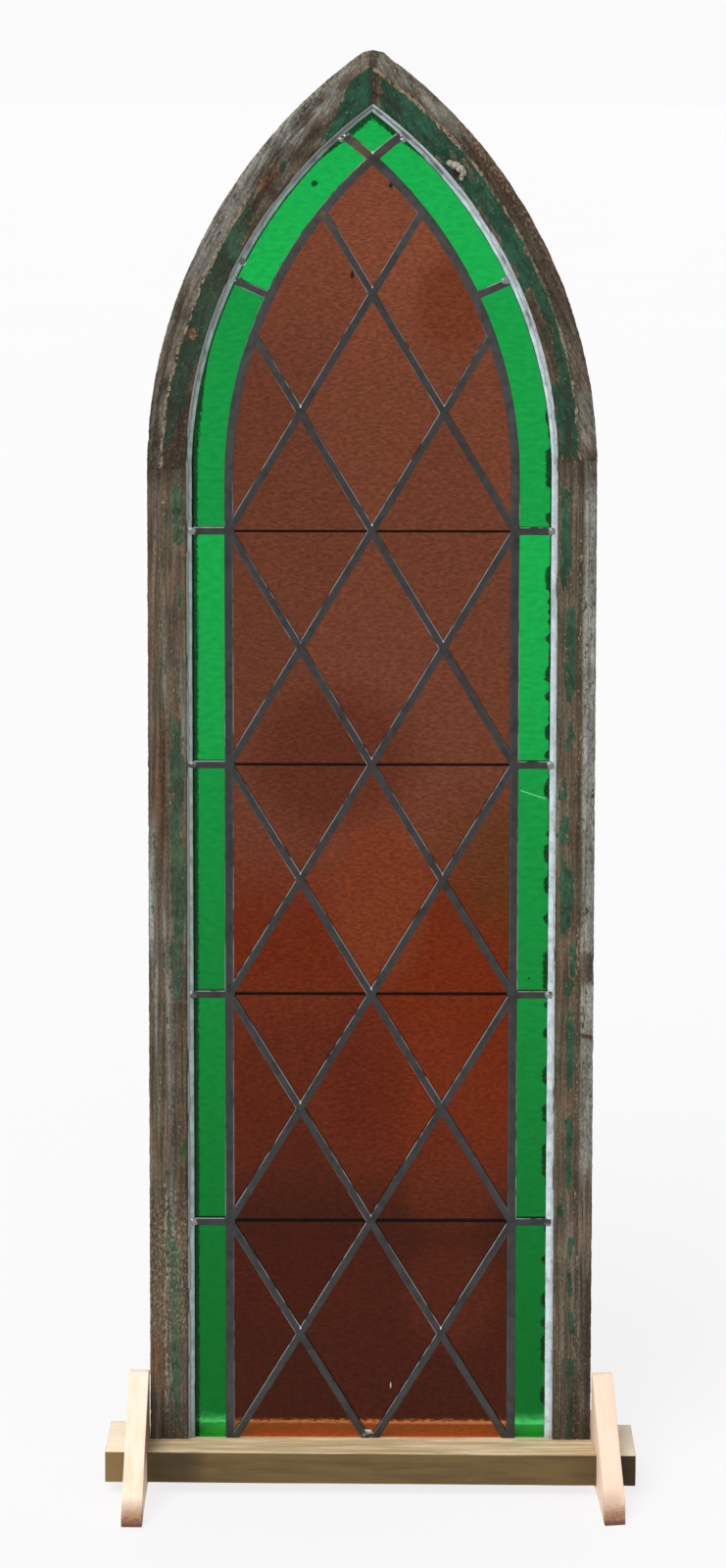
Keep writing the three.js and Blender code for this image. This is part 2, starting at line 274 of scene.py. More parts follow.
def whole_side(arch, share):
    """Point on the left side of an arch, from its foot to its mitre, as (x, z)."""
    if share < TRIM_SPLIT:
        return -arch.half, mix(FOOT, arch.spring, share / TRIM_SPLIT)
    return round_arc(arch, (share - TRIM_SPLIT) / (1 - TRIM_SPLIT), arch.spring)


def between(outer, inner, part):
    """Point part of the way from an outer to an inner one, as (x, z)."""
    return mix(outer[0], inner[0], part), mix(outer[1], inner[1], part)


def spaced(start, end, count):
    """Points from start up to but not including end."""
    return [between(start, end, i / count) for i in range(count)]


def closed_section(*runs):
    """A section as a closed list of points, from (start, steps) pairs."""
    points = []
    for i, (start, steps) in enumerate(runs):
        points += spaced(start, runs[(i + 1) % len(runs)][0], steps)
    return points + [points[0]]


def swept(section, steps, length, place, origin=0.0):
    """A closed board along a run: a grid rolled round its section, then put in place point by point.

    place takes the across and depth values of the section and the share of the run, and
    gives the point and its wear and stain colours.
    """
    bm = bmesh.new()
    bmesh.ops.create_grid(bm, x_segments=len(section) - 1, y_segments=steps, size=1.0)
    grain = bm.loops.layers.uv.new("grain")
    wear = bm.verts.layers.float_color.new("wear")
    stain = bm.verts.layers.float_color.new("stain")
    girth = [0.0]
    for a, b in zip(section, section[1:]):
        girth.append(girth[-1] + math.dist(a, b))
    columns = len(section) - 1
    for face in bm.faces:
        for loop in face.loops:
            column = round((loop.vert.co.x + 1) / 2 * columns)
            loop[grain].uv = (girth[column] + origin, (loop.vert.co.y + 1) / 2 * length + origin)
    for vert in bm.verts:
        across, depth = section[round((vert.co.x + 1) / 2 * columns)]
        vert.co, vert[wear], vert[stain] = place(across, depth, (vert.co.y + 1) / 2)
    bmesh.ops.remove_doubles(bm, verts=bm.verts, dist=0.001 * MM)
    bmesh.ops.holes_fill(bm, edges=[e for e in bm.edges if e.is_boundary], sides=0)
    bmesh.ops.recalc_face_normals(bm, faces=bm.faces)
    return bm


# ---------------------------------------------------------------- weathered timber

# A patch of paint in millimetres: its two heights over the foot, the inset of its middle, half its width
Patch = namedtuple("Patch", "low high inset half")

STILE_PAINT = {
    "left": [Patch(1232, 1322, 41, 6), Patch(1150, 1185, 43, 2.5), Patch(640, 1010, 38, 6),
             Patch(700, 830, 43, 7), Patch(612, 690, 37, 7), Patch(385, 420, 48, 3.5),
             Patch(240, 340, 25, 2.6), Patch(5, 300, 35, 5), Patch(880, 950, 46, 3)],
    "right": [Patch(1176, 1310, 42, 6), Patch(1018, 1150, 34, 5.5), Patch(952, 992, 36, 3),
              Patch(885, 918, 44, 4), Patch(826, 864, 41, 5), Patch(700, 802, 38, 6.5),
              Patch(645, 690, 29, 3), Patch(616, 640, 34, 5), Patch(488, 602, 32, 4),
              Patch(352, 460, 32, 3.2), Patch(312, 346, 44, 3), Patch(250, 284, 29, 2.6),
              Patch(200, 234, 28, 2.4), Patch(150, 180, 28, 2.4), Patch(2, 112, 29, 4)],
}


def patch_cover(patches, inset, height, rag):
    """How well flakes of paint cover a place, over 0 inside a flake."""
    cover = -1.0
    for patch in patches:
        middle, half_run = (patch.low + patch.high) / 2, (patch.high - patch.low) / 2
        across = abs(inset - patch.inset) / (1.3 * patch.half)
        along = abs(height - middle) / half_run
        cover = max(cover, 1 - across ** 3 - along ** 5)
    return cover + rag


CLEAN = (0.0, 0.0, 0.0, 1.0)


def near(value, middle, half, soft):
    """1 within half of a value, and fading to 0 over soft beyond it."""
    return step(abs(value - middle), half + soft, half)


def blot(across, along):
    """1 inside a round spot and 0 outside, from distances in units of its half sizes."""
    return step(math.hypot(across, along), 1.25, 0.7)


MARKS = {                                        # by piece and kind: (amount, limits across, limits along)
    "stile_left": {
        "damp_and_shade": [(0.35, (26, 32), (430, 220, 60)), (-0.3, (20, 12), (700, 500)),
                 # the first mark below, a dark line at inset 51.5 low on the left stile beside the lead, is
                 # painted shade
                 (0.7, (51.5, 1.0, 1.2), (700, 200)), (0.7, (20, 1.5, 3), (890, 110, 50)),
                 (0.6, None, (1290, 1328)), (-0.25, None, (1230, 50, 60)), (-0.3, None, (210, 60, 50))],
        "silver": [(0.6, (11, 1, 3), (600, 50, 30))],
        "rust": [(0.8, (18, 3, 5), (905, 70, 60)), (0.9, (12, 7, 5), (110, 22, 30)),
                 (0.6, (6, 4, 4), (1150, 60, 50))],
        "flecks": [(0.6, None, (240, 70, 50))],
    },
    "stile_right": {
        "damp_and_shade": [(0.85, (19, 14), (150, 60, 45)), (0.8, (14, 8), (655, 14, 14)), (0.5, (22, 1.5, 3), None),
                 (0.5, None, (1295, 1335))],
    },
    "arch_left": {
        "damp_and_shade": [(0.95, (44, 6, 5), (0.09, 0.05, 0.05)), (0.5, (36, 9, 6), (0.3, 0.12, 0.12)),
                 (0.5, None, (0.05, 0.0)), (0.3, (22, 30), (0.68, 0.55)),
                 (0.8, (10, 4, 4), (0.825, 0.035, 0.02)), (0.35, None, (0.2, 0.08)),
                 (1.2, None, (0.984, 0.994))],
        "rust": [(0.7, (20, 5, 8), (0.965, 0.01, 0.02))],
        "crumbs": [(2.0, (24.5, 2, 2), (0.045, 0.004, 0.004))],
        "flecks": [(0.8, (13, 6), (0.4, 0.55))],
    },
    "arch_right": {
        "damp_and_shade": [(0.5, None, (0.035, 0.0)), (1.2, None, (0.984, 0.994))],
        "rust": [(0.5, (7, 5, 5), (0.52, 0.16, 0.1)), (0.8, (8, 14), (0.972, 0.98))],
        "crumbs": [(3.0, (28.6, 1.0, 1.0), (0.576, 0.002, 0.002))],
        "flecks": [(0.5, (13, 6), (0.4, 0.55))],
    },
}


def fade(value, limits):
    """1 without limits, step() between two, and near() for a middle, a half size and a soft rim."""
    if limits is None:
        return 1.0
    return step(value, *limits) if len(limits) == 2 else near(value, *limits)


def marks(piece, kind, inset, along):
    """What the marks of one kind add at a place on a piece."""
    return sum(amount * fade(inset, across_limits) * fade(along, along_limits)
               for amount, across_limits, along_limits in MARKS[piece].get(kind, ()))


def stile_wear(side, inset, height):
    """What the weather left at a place on a stile, from its inset and height in millimetres.

    Gives (paint, mortar, damp, silver) and (rust, clean paint, flecks, 1).
    """
    name = "left" if side < 0 else "right"
    added = {kind: marks(f"stile_{name}", kind, inset, height)
             for kind in ("damp_and_shade", "silver", "rust", "flecks")}
    rag = 1.5 * rough(inset, height * 0.2, 7 * side, 6) + 0.8 * rough(inset, height * 0.5, 9 * side, 2.6)
    paint = step(patch_cover(STILE_PAINT[name], inset, height, rag), -0.9, 1.0)
    crumbs = rough(inset, height * 0.5, 31 * side, 4)
    line = 22 + 2.2 * rough(0, height, 5 * side, 60) + 1.4 * rough(0, height, 6 * side, 13)
    thick = 0.45 + 0.55 * step(rough(0, height, 3 * side, 90), -0.2, 0.3)
    streak = rough(inset, height * 0.035, 11 * side, 7)
    damp_and_shade = step(height, 95, 10) * 0.75 + step(inset, 3.0, 0) * 0.4 + 0.45 * step(streak, 0.15, 0.6)
    silver = step(rough(inset, height * 0.03, 23 * side, 12), 0.0, 0.6) * 0.55
    rust = 0.3 * step(rough(inset, height * 0.12, 57 * side, 14), 0.25, 0.6) + added["rust"]
    if side < 0:
        clean = 0.35
        thick = max(0.35 * thick, near(height, 200, 130, 60), 0.6 * near(height, 1285, 20, 20))
        silver += 0.75 * step(inset, 15, 10) * near(height, 762, 75, 40) * step(streak, -0.5, 0.1)
    else:
        clean = 0.75
        thick *= 0.55
        bare = step(inset, 20, 16) * step(height, 330, 420)
        bleached = (0.8 + 0.25 * near(height, 1000, 80, 80)) * (1 - 0.8 * near(height, 655, 14, 14))
        silver = silver * 0.4 + bleached * bare * step(crumbs, -0.75, -0.15)
        crack = near(height + 3 * rough(inset, 0, 5, 12), 561, 1.5, 3) * step(inset, 18, 15)
        silver *= (1 - crack) * (1 - 0.6 * step(height, 1285, 1335))
        rust += 0.7 * crack + 0.25 * near(inset, 26, 5, 8) * step(rough(0, height, 61, 70), -0.1, 0.4)
        damp_and_shade = damp_and_shade * (1 - 0.6 * bare) + 0.8 * crack
        damp_and_shade += 0.3 * step(inset, 14, 6) * step(rough(0, height, 65, 24), 0.2, 0.6)
    damp_and_shade, silver = damp_and_shade + added["damp_and_shade"], silver + added["silver"]
    mortar = near(inset, line, 0.9, 2.6) * step(crumbs, -0.6, 0.2) * thick
    flecks = 0.8 * step(rough(inset, height, 67 * side, 2.4, 2), 0.42, 0.62) * step(inset, 12, 20)
    return ((paint, mortar, min(1.0, max(0.0, damp_and_shade)), min(1.0, silver)),
            (min(1.0, rust), clean, flecks + added["flecks"], 1.0))


def arch_wear(side, inset, share):
    """What the weather left at a place on an arch piece, from its inset in mm and share of its run.

    It gives the same eight values as stile_wear.
    """
    name = "arch_left" if side < 0 else "arch_right"
    run = share * 660
    rag = 0.8 * rough(inset, run * 0.4, 13 * side, 7) + 0.4 * rough(inset, run, 15 * side, 2.6)
    if side < 0:
        line = mix(19.5, 25, step(share, 0.1, 0.35))
    else:
        line = mix(24, 21.5, step(share, 0.6, 0.75))
    line += 1.4 * rough(0, run, 17 * side, 40) + 0.8 * rough(0, run, 18 * side, 9)
    band = step(inset + 1.5 * rag, line, line + 2.5)
    outer = step(inset, line + 1, line - 3)
    streak = rough(inset, run * 0.05, 37 * side, 8)
    blotch = rough(inset, run * 0.45, 91 * side, 15)
    crumbs = rough(inset, run * 0.6, 29 * side, 4) + marks(name, "crumbs", inset, share)
    damp_and_shade = 0.3 * step(inset, 4, 0) + 0.5 * step(streak, 0.1, 0.5) + 0.5 * step(blotch, 0.1, 0.5)
    damp_and_shade += marks(name, "damp_and_shade", inset, share)
    silver = step(rough(inset, run * 0.05, 43 * side, 12), -0.15, 0.45) * 0.6
    rust = 0.3 * step(rough(inset, run * 0.15, 57 * side, 14), 0.25, 0.6)
    rust += marks(name, "rust", inset, share)
    if side < 0:
        covered = step(share + 0.03 * rag, 0.04, 0.06) * step(share + 0.05 * rag, 0.66, 0.58)
        foot = 0.846 + 0.0027 * (53 - inset)
        crown = step(share + 0.03 * rag, foot - 0.008, foot + 0.008) * step(inset + 2 * rag, 16, 19)
        rise = step(share, 0.06, 0.17)
        lost = step(inset + 3 * rag, mix(30, 44, rise), mix(36, 49, rise)) * step(share, 0.28, 0.2)
        lost += 0.9 * step(inset + 4 * rag, 43, 50) * step(share, 0.48, 0.6)
        paint = band * covered * (1 - min(1.0, lost)) + crown
        paint += blot((share - 0.73) / 0.013, (inset - 35 + 2 * rag) / 4.5)
        clean = mix(0.9, 0.7, step(share, 0.3, 0.5)) + 0.3 * step(share, 0.8, 0.88)
        thick = step(share, 0.68, 0.6) * (0.6 + 0.4 * step(rough(0, run, 71, 40), -0.2, 0.2))
        damp_and_shade += 0.45 * (1 - crown) * near(share, 0.72, 0.1, 0.07) * step(inset, 22, 34)
        damp_and_shade += 0.45 * blot((share - 0.705) / 0.04, (inset - 24 + 3 * rag) / 11)
        damp_and_shade += 0.5 * near(inset, 13, 3, 5) * step(rough(0, run, 47, 50), -0.2, 0.3) * step(share, 0.8, 0.7)
        damp_and_shade += 0.35 * (1 - outer) * step(share, 0.26, 0.14)
        bleached = 0.3 + 0.35 * near(share, 0.62, 0.16, 0.1)
        silver = silver * 0.35 + outer * bleached * (1 - 0.6 * step(streak, -0.05, 0.35))
        silver += 0.45 * step(share, 0.6, 0.75) * step(blotch, 0.0, -0.4)
        silver *= (1 - 0.5 * near(share, 0.02, 0.03, 0.03)) * (1 - 0.6 * step(share, 0.93, 0.97))
        rust += 1.15 * blot((share - 0.69) / 0.045, (inset - 28 + 3 * rag) / 10)
        rust += 1.6 * blot((share - 0.305) / 0.015, (inset - 35 + 1.2 * rag) / 6)
    else:
        covered = step(share + 0.02 * rag, -0.02, 0.03) * step(share + 0.008 * rag, 0.985, 0.972)
        lost = 0.95 * step(inset + 3 * rag, 38, 42) * near(share, 0.3, 0.09, 0.05)
        lost += 0.7 * step(rough(inset, run * 0.25, 41, 9), 0.2, 0.42) * step(share, 0.1, 0.5)
        lost += 0.8 * step(inset, 46, 50) * step(rough(0, run, 9, 30), 0, 0.3)
        lost *= 1 - 0.7 * step(share, 0.82, 0.9)
        paint = band * covered * (1 - min(1.0, lost))
        clean = 1.0
        thick = 0.4 + 0.6 * step(rough(0, run, 75, 45), -0.25, 0.15)
        silver = silver * 0.3 + 0.45 * outer * near(share, 0.09, 0.03, 0.05)
        silver += 0.5 * near(inset, 9, 6, 5) * step(share, 0.7, 0.82)
        damp_and_shade += 0.75 * outer * near(share, 0.5, 0.2, 0.12) * step(inset, 4, 12)
        damp_and_shade += 0.25 * band * step(share, 0.4, 0.2)
    mortar = near(inset, line, 1.0, 2.4) * step(crumbs, -0.6, 0.0) * thick
    flecks = 0.8 * step(rough(inset, run, 67 * side, 2.4, 2), 0.4, 0.6)
    flecks += marks(name, "flecks", inset, share)
    return ((min(1.0, paint), mortar, min(1.0, damp_and_shade), min(1.0, silver)),
            (min(1.5, rust), min(1.0, clean), flecks, 1.0))


def weathered_depth(inset, run, wear, seed, settings):
    """How far a point on the front stands out, from its grain and what is left on it."""
    paint, mortar, damp_and_shade, _silver = wear
    grooves = rough(inset, run * 0.05, seed, 5)
    deep = step(rough(inset, run * 0.02, seed + 50, 8), 0.25, 0.55)
    grain = settings.relief * (0.7 * grooves - 1.3 * deep) * (1 - 0.7 * paint)
    crumbs = 0.7 + 0.6 * rough(inset, run, seed + 9, 3)
    return grain + 0.4 * MM * paint + settings.ridge * mortar * crumbs - 0.5 * MM * damp_and_shade


def hidden_wear(wear, depth):
    """Wear without the paint and mortar, which lie on and near the front only."""
    paint, mortar, damp_and_shade, silver = wear
    front = step(depth, 14 * MM, 8 * MM)
    return paint * front, mortar * front, damp_and_shade, silver


def grain_along(bm, direction, origin):
    """Lays the grain straight along a direction in x and z, as in a board sawn to a curve."""
    grain = bm.loops.layers.uv["grain"]
    for face in bm.faces:
        for loop in face.loops:
            co = loop.vert.co
            across = co.x * direction[1] - co.z * direction[0] + co.y
            loop[grain].uv = (across + origin, co.x * direction[0] + co.z * direction[1] + origin)


def frame_section():
    """Section of a frame member as (inset, depth), with its worn front arrises."""
    worn = 2.5 * MM
    inner = 1.2 * MM
    width, depth = FRAME_WIDTH, FRAME_DEPTH
    return closed_section(
        ((0, depth), 12), ((0, worn), 1), ((0.3 * worn, 0.3 * worn), 1), ((worn, 0), 34),
        ((width - inner, 0), 1), ((width, inner), 4), ((width, SHOULDER), 3),
        ((width + LIP, SHOULDER), 6), ((width + LIP, depth), 16))


# How an outer edge is worn: depth of its sway and of its bites, their reach and length, noise seeds
Edge = namedtuple("Edge", "sway bite reach span seeds")
STILE_EDGE = Edge(0.5, 1.0, 6, 26, (71, 77, 79))
ARCH_EDGE = Edge(0.6, 1.1, 7, 30, (83, 87, 89))


def worn_edge(inset, depth, run, side, edge):
    """How far the outer edge is worn in at a place, all in millimetres."""
    sway, bite, nick = (side * seed for seed in edge.seeds)
    worn = step(inset, 4, 0) * (0.4 + edge.sway * rough(depth * 0.2, run * 0.5, sway, 14))
    worn += step(inset, edge.reach, 0) * edge.bite * step(rough(0, run, bite, edge.span), 0.3, 0.9)
    return worn + step(inset, 3, 0) * 0.45 * rough(0, run, nick, 5)


def dress_stile(name, side, settings, material):
    low, high = FOOT, JOINTS[name] - GAP
    length = high - low

    def place(across, depth, share):
        height = length * share
        inset, run = across / MM, height / MM
        wear, stain = stile_wear(side, inset - 0.5 * depth / MM * step(inset, 3, 0), run)
        wear = hidden_wear(wear, depth)
        front = step(depth, 3 * MM, 0) * step(across, -1 * MM, 2 * MM) * step(inset, 53, 51)
        out = front * weathered_depth(inset, run, wear, 3 * side, settings)
        edge = worn_edge(inset, depth / MM, run, side, STILE_EDGE)
        x = -FRAME_OUTER.half + across + edge * MM
        return Vector((-side * x, depth - out, low + height)), wear, stain

    bm = swept(frame_section(), STEPS_ALONG["stile"], length, place, 0.7 * side)
    smooth_faces(bm, 50)
    return finished(bm, f"weathered_stile_{name}", [f"frame_stile_{name}"], material)


def blob(x, y, z, wide, deep, tall):
    """Place and half sizes of a blob, from millimetres over the window's foot."""
    return (x * MM, y * MM, z * MM + LIFT), (wide * MM, deep * MM, tall * MM)


MORTAR_LUMP = [                                  # a comma of mortar
    blob(103, 0.0, 1742, 5.5, 5.0, 4.0),
    blob(109.5, -0.5, 1739.5, 6.5, 5.5, 5.0),
    blob(115.5, -0.5, 1735, 6.0, 5.5, 5.0),
    blob(119.5, 0.0, 1729.5, 4.2, 5.0, 5.5),
    blob(117, 0.3, 1723, 3.5, 4.5, 3.5),
]
LUMP_HOLLOW = [blob(110.5, 0.5, 1728, 5.5, 2.0, 5.0)]


def add_lump(bm, blobs, seed, **colours):
    """Rough blobs stuck on a piece: each a ball pulled about by noise, coloured by layer name."""
    layers = {name: bm.verts.layers.float_color[name] for name in colours}
    for number, (place, spread) in enumerate(blobs):
        for vert in bmesh.ops.create_icosphere(bm, subdivisions=4, radius=1.0)["verts"]:
            co = vert.co
            offset = Vector((seed + number * 3.1, 0.0, 0.0))
            swell = 1 + 0.3 * noise.fractal(co * 1.3 + offset, 1.0, 2.0, 4)
            vert.co = Vector(place) + Vector(c * s * swell for c, s in zip(co, spread))
            for name, layer in layers.items():
                vert[layer] = colours[name]
            for face in vert.link_faces:
                face.smooth = True


ARCH_CHORD = (0.47, 0.883)                       # direction of the board that an arch piece is sawn from


def dress_arch(name, side, settings, material):
    low = JOINTS[name] + GAP
    length = arc_length(FRAME_OUTER, low)

    def place(across, depth, share):
        inset, run = across / MM, share * length / MM
        wear, stain = arch_wear(side, inset - 0.5 * depth / MM * step(inset, 3, 0), share)
        wear = hidden_wear(wear, depth)
        front = step(depth, 3 * MM, 0) * step(inset, 53, 51)
        out = front * weathered_depth(inset, run, wear, 5 * side, settings)
        if side < 0:
            out -= front * 3.5 * MM * step(abs(inset - 45), 6, 2) * step(abs(share - 0.085), 0.06, 0.02)
        edge = worn_edge(inset, depth / MM, run, side, ARCH_EDGE)
        x, z = between(round_arc(FRAME_OUTER, share, low), round_arc(FRAME_INNER, share, low),
                       (across + edge * MM) / FRAME_WIDTH)
        blunt = APEX_TOP - 1.3 * MM - 0.2 * abs(x)
        return Vector((-side * x, depth - out, min(z, blunt))), wear, stain

    bm = swept(frame_section(), STEPS_ALONG["arch"], length, place)
    if side > 0:
        add_lump(bm, MORTAR_LUMP, 0.0, wear=(0.0, 1.0, 0.0, 2.0), stain=(0.0, 0.0, 1.0, 1.0))
        add_lump(bm, LUMP_HOLLOW, 7.0, wear=(0.0, 0.0, 1.6, 0.0), stain=CLEAN)
    grain_along(bm, (-side * ARCH_CHORD[0], ARCH_CHORD[1]), 0.4 * side)
    smooth_faces(bm, 50)
    return finished(bm, f"weathered_arch_{name}", [f"frame_arch_{name}"], material)


# ---------------------------------------------------------------- leads, solder and putty


def crowned(bm, crown):
    """Rounds the leads: their flat front is inset in steps that each stand out a little less."""
    level = NET_FACE + 0.1 * MM
    for inset, rise in ((1.1, 0.55), (1.2, 0.3), (1.2, 0.15)):
        front = [f for f in bm.faces if f.normal.y < -0.99 and f.calc_center_median().y < level]
        bmesh.ops.inset_region(bm, faces=front, thickness=inset * MM, depth=rise * crown,
                               use_boundary=True, use_even_offset=True)
        level -= rise * crown


def lead_crossings():
    """Where two leads of the lattice or the border cross, as (x, z, size)."""
    rows = [FOOT_NODE, *CROSS_HEIGHTS, TOP_NODE]
    mids = [(a + b) / 2 for a, b in zip(rows, rows[1:])]
    crossings = [(0.0, z, 1.0) for z in rows[1:]]
    for side in (-1, 1):
        crossings += [(side * LATTICE_HALF, z, 1.0) for z in mids]
        crossings += [(side * BORDER.half, z, 1.2) for z in CROSS_HEIGHTS]
    crossings.append((0.0, CROSSING, 1.0))
    return crossings


def edge_joints():
    """Where the cross leads and the border leads meet the outer lead, as (x, z, size)."""
    joints = []
    for side in (-1, 1):
        joints += [(side * 240 * MM, z, 0.85) for z in CROSS_HEIGHTS]
        joints.append((side * 176 * MM, 1585 * MM + LIFT, 0.85))
        joints.append((side * 41 * MM, 1772 * MM + LIFT, 0.5))
    return joints


SOLDER_AND_HIGHLIGHT = (1.0, 0.0, 1.0, 1.0)                    # wear of bright solder, and of painted highlights
FILMED = [                                       # places with a brown film: x, z and half sizes
    (-192 * MM, 1025 * MM + LIFT, 7 * MM, 56 * MM),
    (-15 * MM, CROSSING + 15 * MM, 14 * MM, 14 * MM),
]


def dress_net(settings, material):
    bm = copy_of("came_net")
    wear = bm.verts.layers.float_color.new("wear")
    crowned(bm, settings.crown)
    smooth_faces(bm, 35)
    crossings, joints = lead_crossings(), edge_joints()
    for vert in bm.verts:
        vert[wear] = (0.0, 0.0, 0.0, 1.0)
    # Faces of the leads turned up and to the left get painted highlights along their edges, brighter near
    # the joints.
    lit = Vector((-0.55, 0.0, 0.83))
    for face in bm.faces:
        outward = Vector((face.normal.x, 0.0, face.normal.z))
        if face.normal.y < -0.3 and outward.length > 0.25 and outward.normalized().dot(lit) > 0.8:
            for vert in face.verts:
                if vert.co.y > NET_FACE - 0.05 * settings.crown:
                    vert[wear] = (0.0, 0.0, 0.35, 1.0)
    for vert in bm.verts:
        gap = min(math.dist((vert.co.x, vert.co.z), (x, z)) for x, z, _size in crossings + joints)
        film = max(step(abs(vert.co.x - x), 1.2 * wide, wide) * step(abs(vert.co.z - z), 1.2 * tall, tall)
                   for x, z, wide, tall in FILMED)
        highlight_and_pale = vert[wear][2] * (1 + step(gap, 30 * MM, 14 * MM))
        vert[wear] = (step(gap, 16 * MM, 8 * MM), 0.0, min(1.0, highlight_and_pale), 1 - film)
    front = NET_FACE - settings.crown
    for number, (x, z, size) in enumerate(crossings):
        radius = settings.solder * size
        flat = (x, front + 0.5 * MM, z), (radius * 0.7, 0.8 * MM, radius * 0.95)
        # a small blob in the upper crotch of the crossing, bright as a painted highlight
        highlight_blob = (x + 0.2 * MM, front + 1.2 * MM, z + radius * 0.85), (2.0 * MM, 1.0 * MM, 3.4 * MM)
        add_lump(bm, [flat], number * 3.1, wear=(1.0, 0.0, 0.0, 1.0))
        add_lump(bm, [highlight_blob], number * 5.3, wear=SOLDER_AND_HIGHLIGHT)
    for number, (x, z, size) in enumerate(joints):
        radius = settings.solder * size
        flat = (x, front + 0.4 * MM, z), (radius * 0.8, 0.8 * MM, radius * 0.7)
        # a small blob above the joint, bright as a painted highlight
        highlight_blob = (x - 2 * MM, front + 0.5 * MM, z + radius * 0.4), (2.8 * MM, 0.9 * MM, 1.8 * MM)
        add_lump(bm, [flat], number * 4.7, wear=(0.0, 0.2, 0.3, 1.0))
        add_lump(bm, [highlight_blob], number * 6.1, wear=(1.0, 0.0, 0.9, 1.0))
    level = front / MM
    # two drips of solder at the foot, and a thin blob beside a lead that is a painted glint
    drips_and_glint = [blob(-4, level + 0.8, 8, 7, 1.0, 4), blob(-9, level + 0.4, 6, 3, 1.0, 3),
             blob(27.5, level + 1.6, 74, 0.8, 0.8, 4.5)]
    chips = [blob(24, level + 2.2, 1712, 2.6, 1.0, 3.4), blob(-27, level + 2.2, 1593, 2.2, 1.0, 5.0)]
    add_lump(bm, drips_and_glint, 40.0, wear=SOLDER_AND_HIGHLIGHT)
    add_lump(bm, [blob(-66, level + 0.6, 1674, 6, 1.0, 5)], 50.0, wear=(0.0, 0.0, 0.0, 0.1))
    add_lump(bm, chips, 60.0, wear=(0.0, 1.2, 0.0, 1.0))
    return finished(bm, "soldered_net", ["came_net"], material)


def trim_section(*runs):
    """A section of a lead or bead from (share across, depth in mm, steps) triples."""
    return closed_section(*(((across, depth * MM), steps) for across, depth, steps in runs))


CAME_SECTION = trim_section(                     # its groove opens towards the glass
    (0, 10, 3), (0, 4.6, 1), (0.06, 4.0, 2), (0.25, 3.3, 4), (0.75, 3.25, 2), (0.95, 3.9, 1),
    (1.0, 4.4, 1), (1.0, 5.2, 2), (0.16, 5.2, 2), (0.16, 8.8, 2), (1.0, 8.8, 1), (1.0, 10, 4))
BEAD_SECTION = trim_section(
    (0, 3.7, 2), (0, 1.9, 1), (0.25, 1.4, 2), (0.7, 1.6, 1), (1.0, 2.6, 1), (1.0, 3.7, 3))


def dress_edge_came(name, side, material):
    def place(across, depth, share):
        run = share * TRIM_LENGTH / MM
        outer, inner = whole_side(CAME_OUTER, share), whole_side(CAME_INNER, share)
        front = step(depth, 5 * MM, 3.6 * MM)
        dent = 0.35 * rough(across * 4, run, 3 * side, 25) + 0.25 * rough(across * 9, run, 9 * side, 7)
        sway = 0.05 * rough(0, run, 15 * side, 40) * step(across, 0.1, 0.9)
        low = step(inner[1], FOOT + 1.2, FOOT + 0.3)
        width = mix(0.82, 0.96, low) if side < 0 else mix(0.94, 1.14, low)
        x, z = between(outer, inner, across * width - abs(sway))
        stain = 0.45 * step(rough(across * 6, run * 0.5, 21 * side, 12), 0.15, 0.6)
        stain += 0.45 * step(z, LIFT + 1.66, LIFT + 1.76)
        if side < 0:
            stain += 0.5 * step(z, FOOT + 0.1, FOOT)
        seam = near(across, 0.5 + 0.1 * rough(0, run, 27, 30), 0.08, 0.1)
        stain += 0.6 * seam * step(z, LIFT + 1.2, LIFT + 1.4)
        return Vector((-side * x, depth - front * dent * MM, z)), (0.0, stain, 0.0, 1.0), CLEAN

    bm = swept(CAME_SECTION, STEPS_ALONG["came"], TRIM_LENGTH, place)
    if side < 0:                                 # a raised rim round a hole, the hole's dark painted in as shade
        add_lump(bm, [blob(-172.5, 3.2, 1610, 4.4, 1.2, 5.4)], 3.0, wear=(0.0, 0.2, 0.35, 1.0))
        add_lump(bm, [blob(-172.5, 2.3, 1611, 3.7, 0.9, 4.2)], 5.0, wear=(3.0, 0.0, 0.0, 1.0))
    smooth_faces(bm, 45)
    return finished(bm, f"edge_lead_{name}", [f"came_perimeter_{name}"], material)


def dress_bead(name, side, material):
    def place(across, depth, share):
        run = share * TRIM_LENGTH / MM
        lump = 0.5 * rough(across * 3, run, 33 * side, 9) + 0.3 * rough(across * 5, run, 39 * side, 3.5)
        front = step(depth, 3.6 * MM, 2.6 * MM)
        worn = step(rough(0, run, 45 * side, 55), 0.2, 0.5)
        x, z = between(whole_side(BEAD_OUTER, share), whole_side(BEAD_INNER, share),
                       across * (1 - 0.35 * worn + 0.3 * lump))
        y = depth - front * (lump - 1.2 * worn) * MM
        return Vector((-side * x, y, z)), (0.0, worn, 0.0, 1.0), CLEAN

    bm = swept(BEAD_SECTION, STEPS_ALONG["bead"], TRIM_LENGTH, place)
    smooth_faces(bm, 60)
    return finished(bm, f"uneven_putty_{name}", [f"putty_bead_{name}"], material)


# ---------------------------------------------------------------- stand


def worn_board(node, rounding, cuts, seed, warp):
    """A solid's copy with worn arrises and the small unevenness of sawn timber."""
    bm = copy_of(node)
    whole_faces(bm)
    bmesh.ops.bevel(bm, geom=bm.edges[:], offset=rounding, offset_type="OFFSET", segments=3, profile=0.5,
                    affect="EDGES", material=-1, clamp_overlap=True)
    long_edges = [e for e in bm.edges if e.calc_length() > 12 * MM]
    bmesh.ops.subdivide_edges(bm, edges=long_edges, cuts=cuts, use_grid_fill=True)
    bmesh.ops.triangulate(bm, faces=[f for f in bm.faces if len(f.verts) > 4])
    for vert in bm.verts:
        co = vert.co / MM
        shift = Vector((rough(co.x, co.y, co.z, 60), rough(co.y, co.z, co.x + seed, 60),
                        rough(co.z, co.x, co.y + seed, 60)))
        vert.co += shift * warp
    return bm


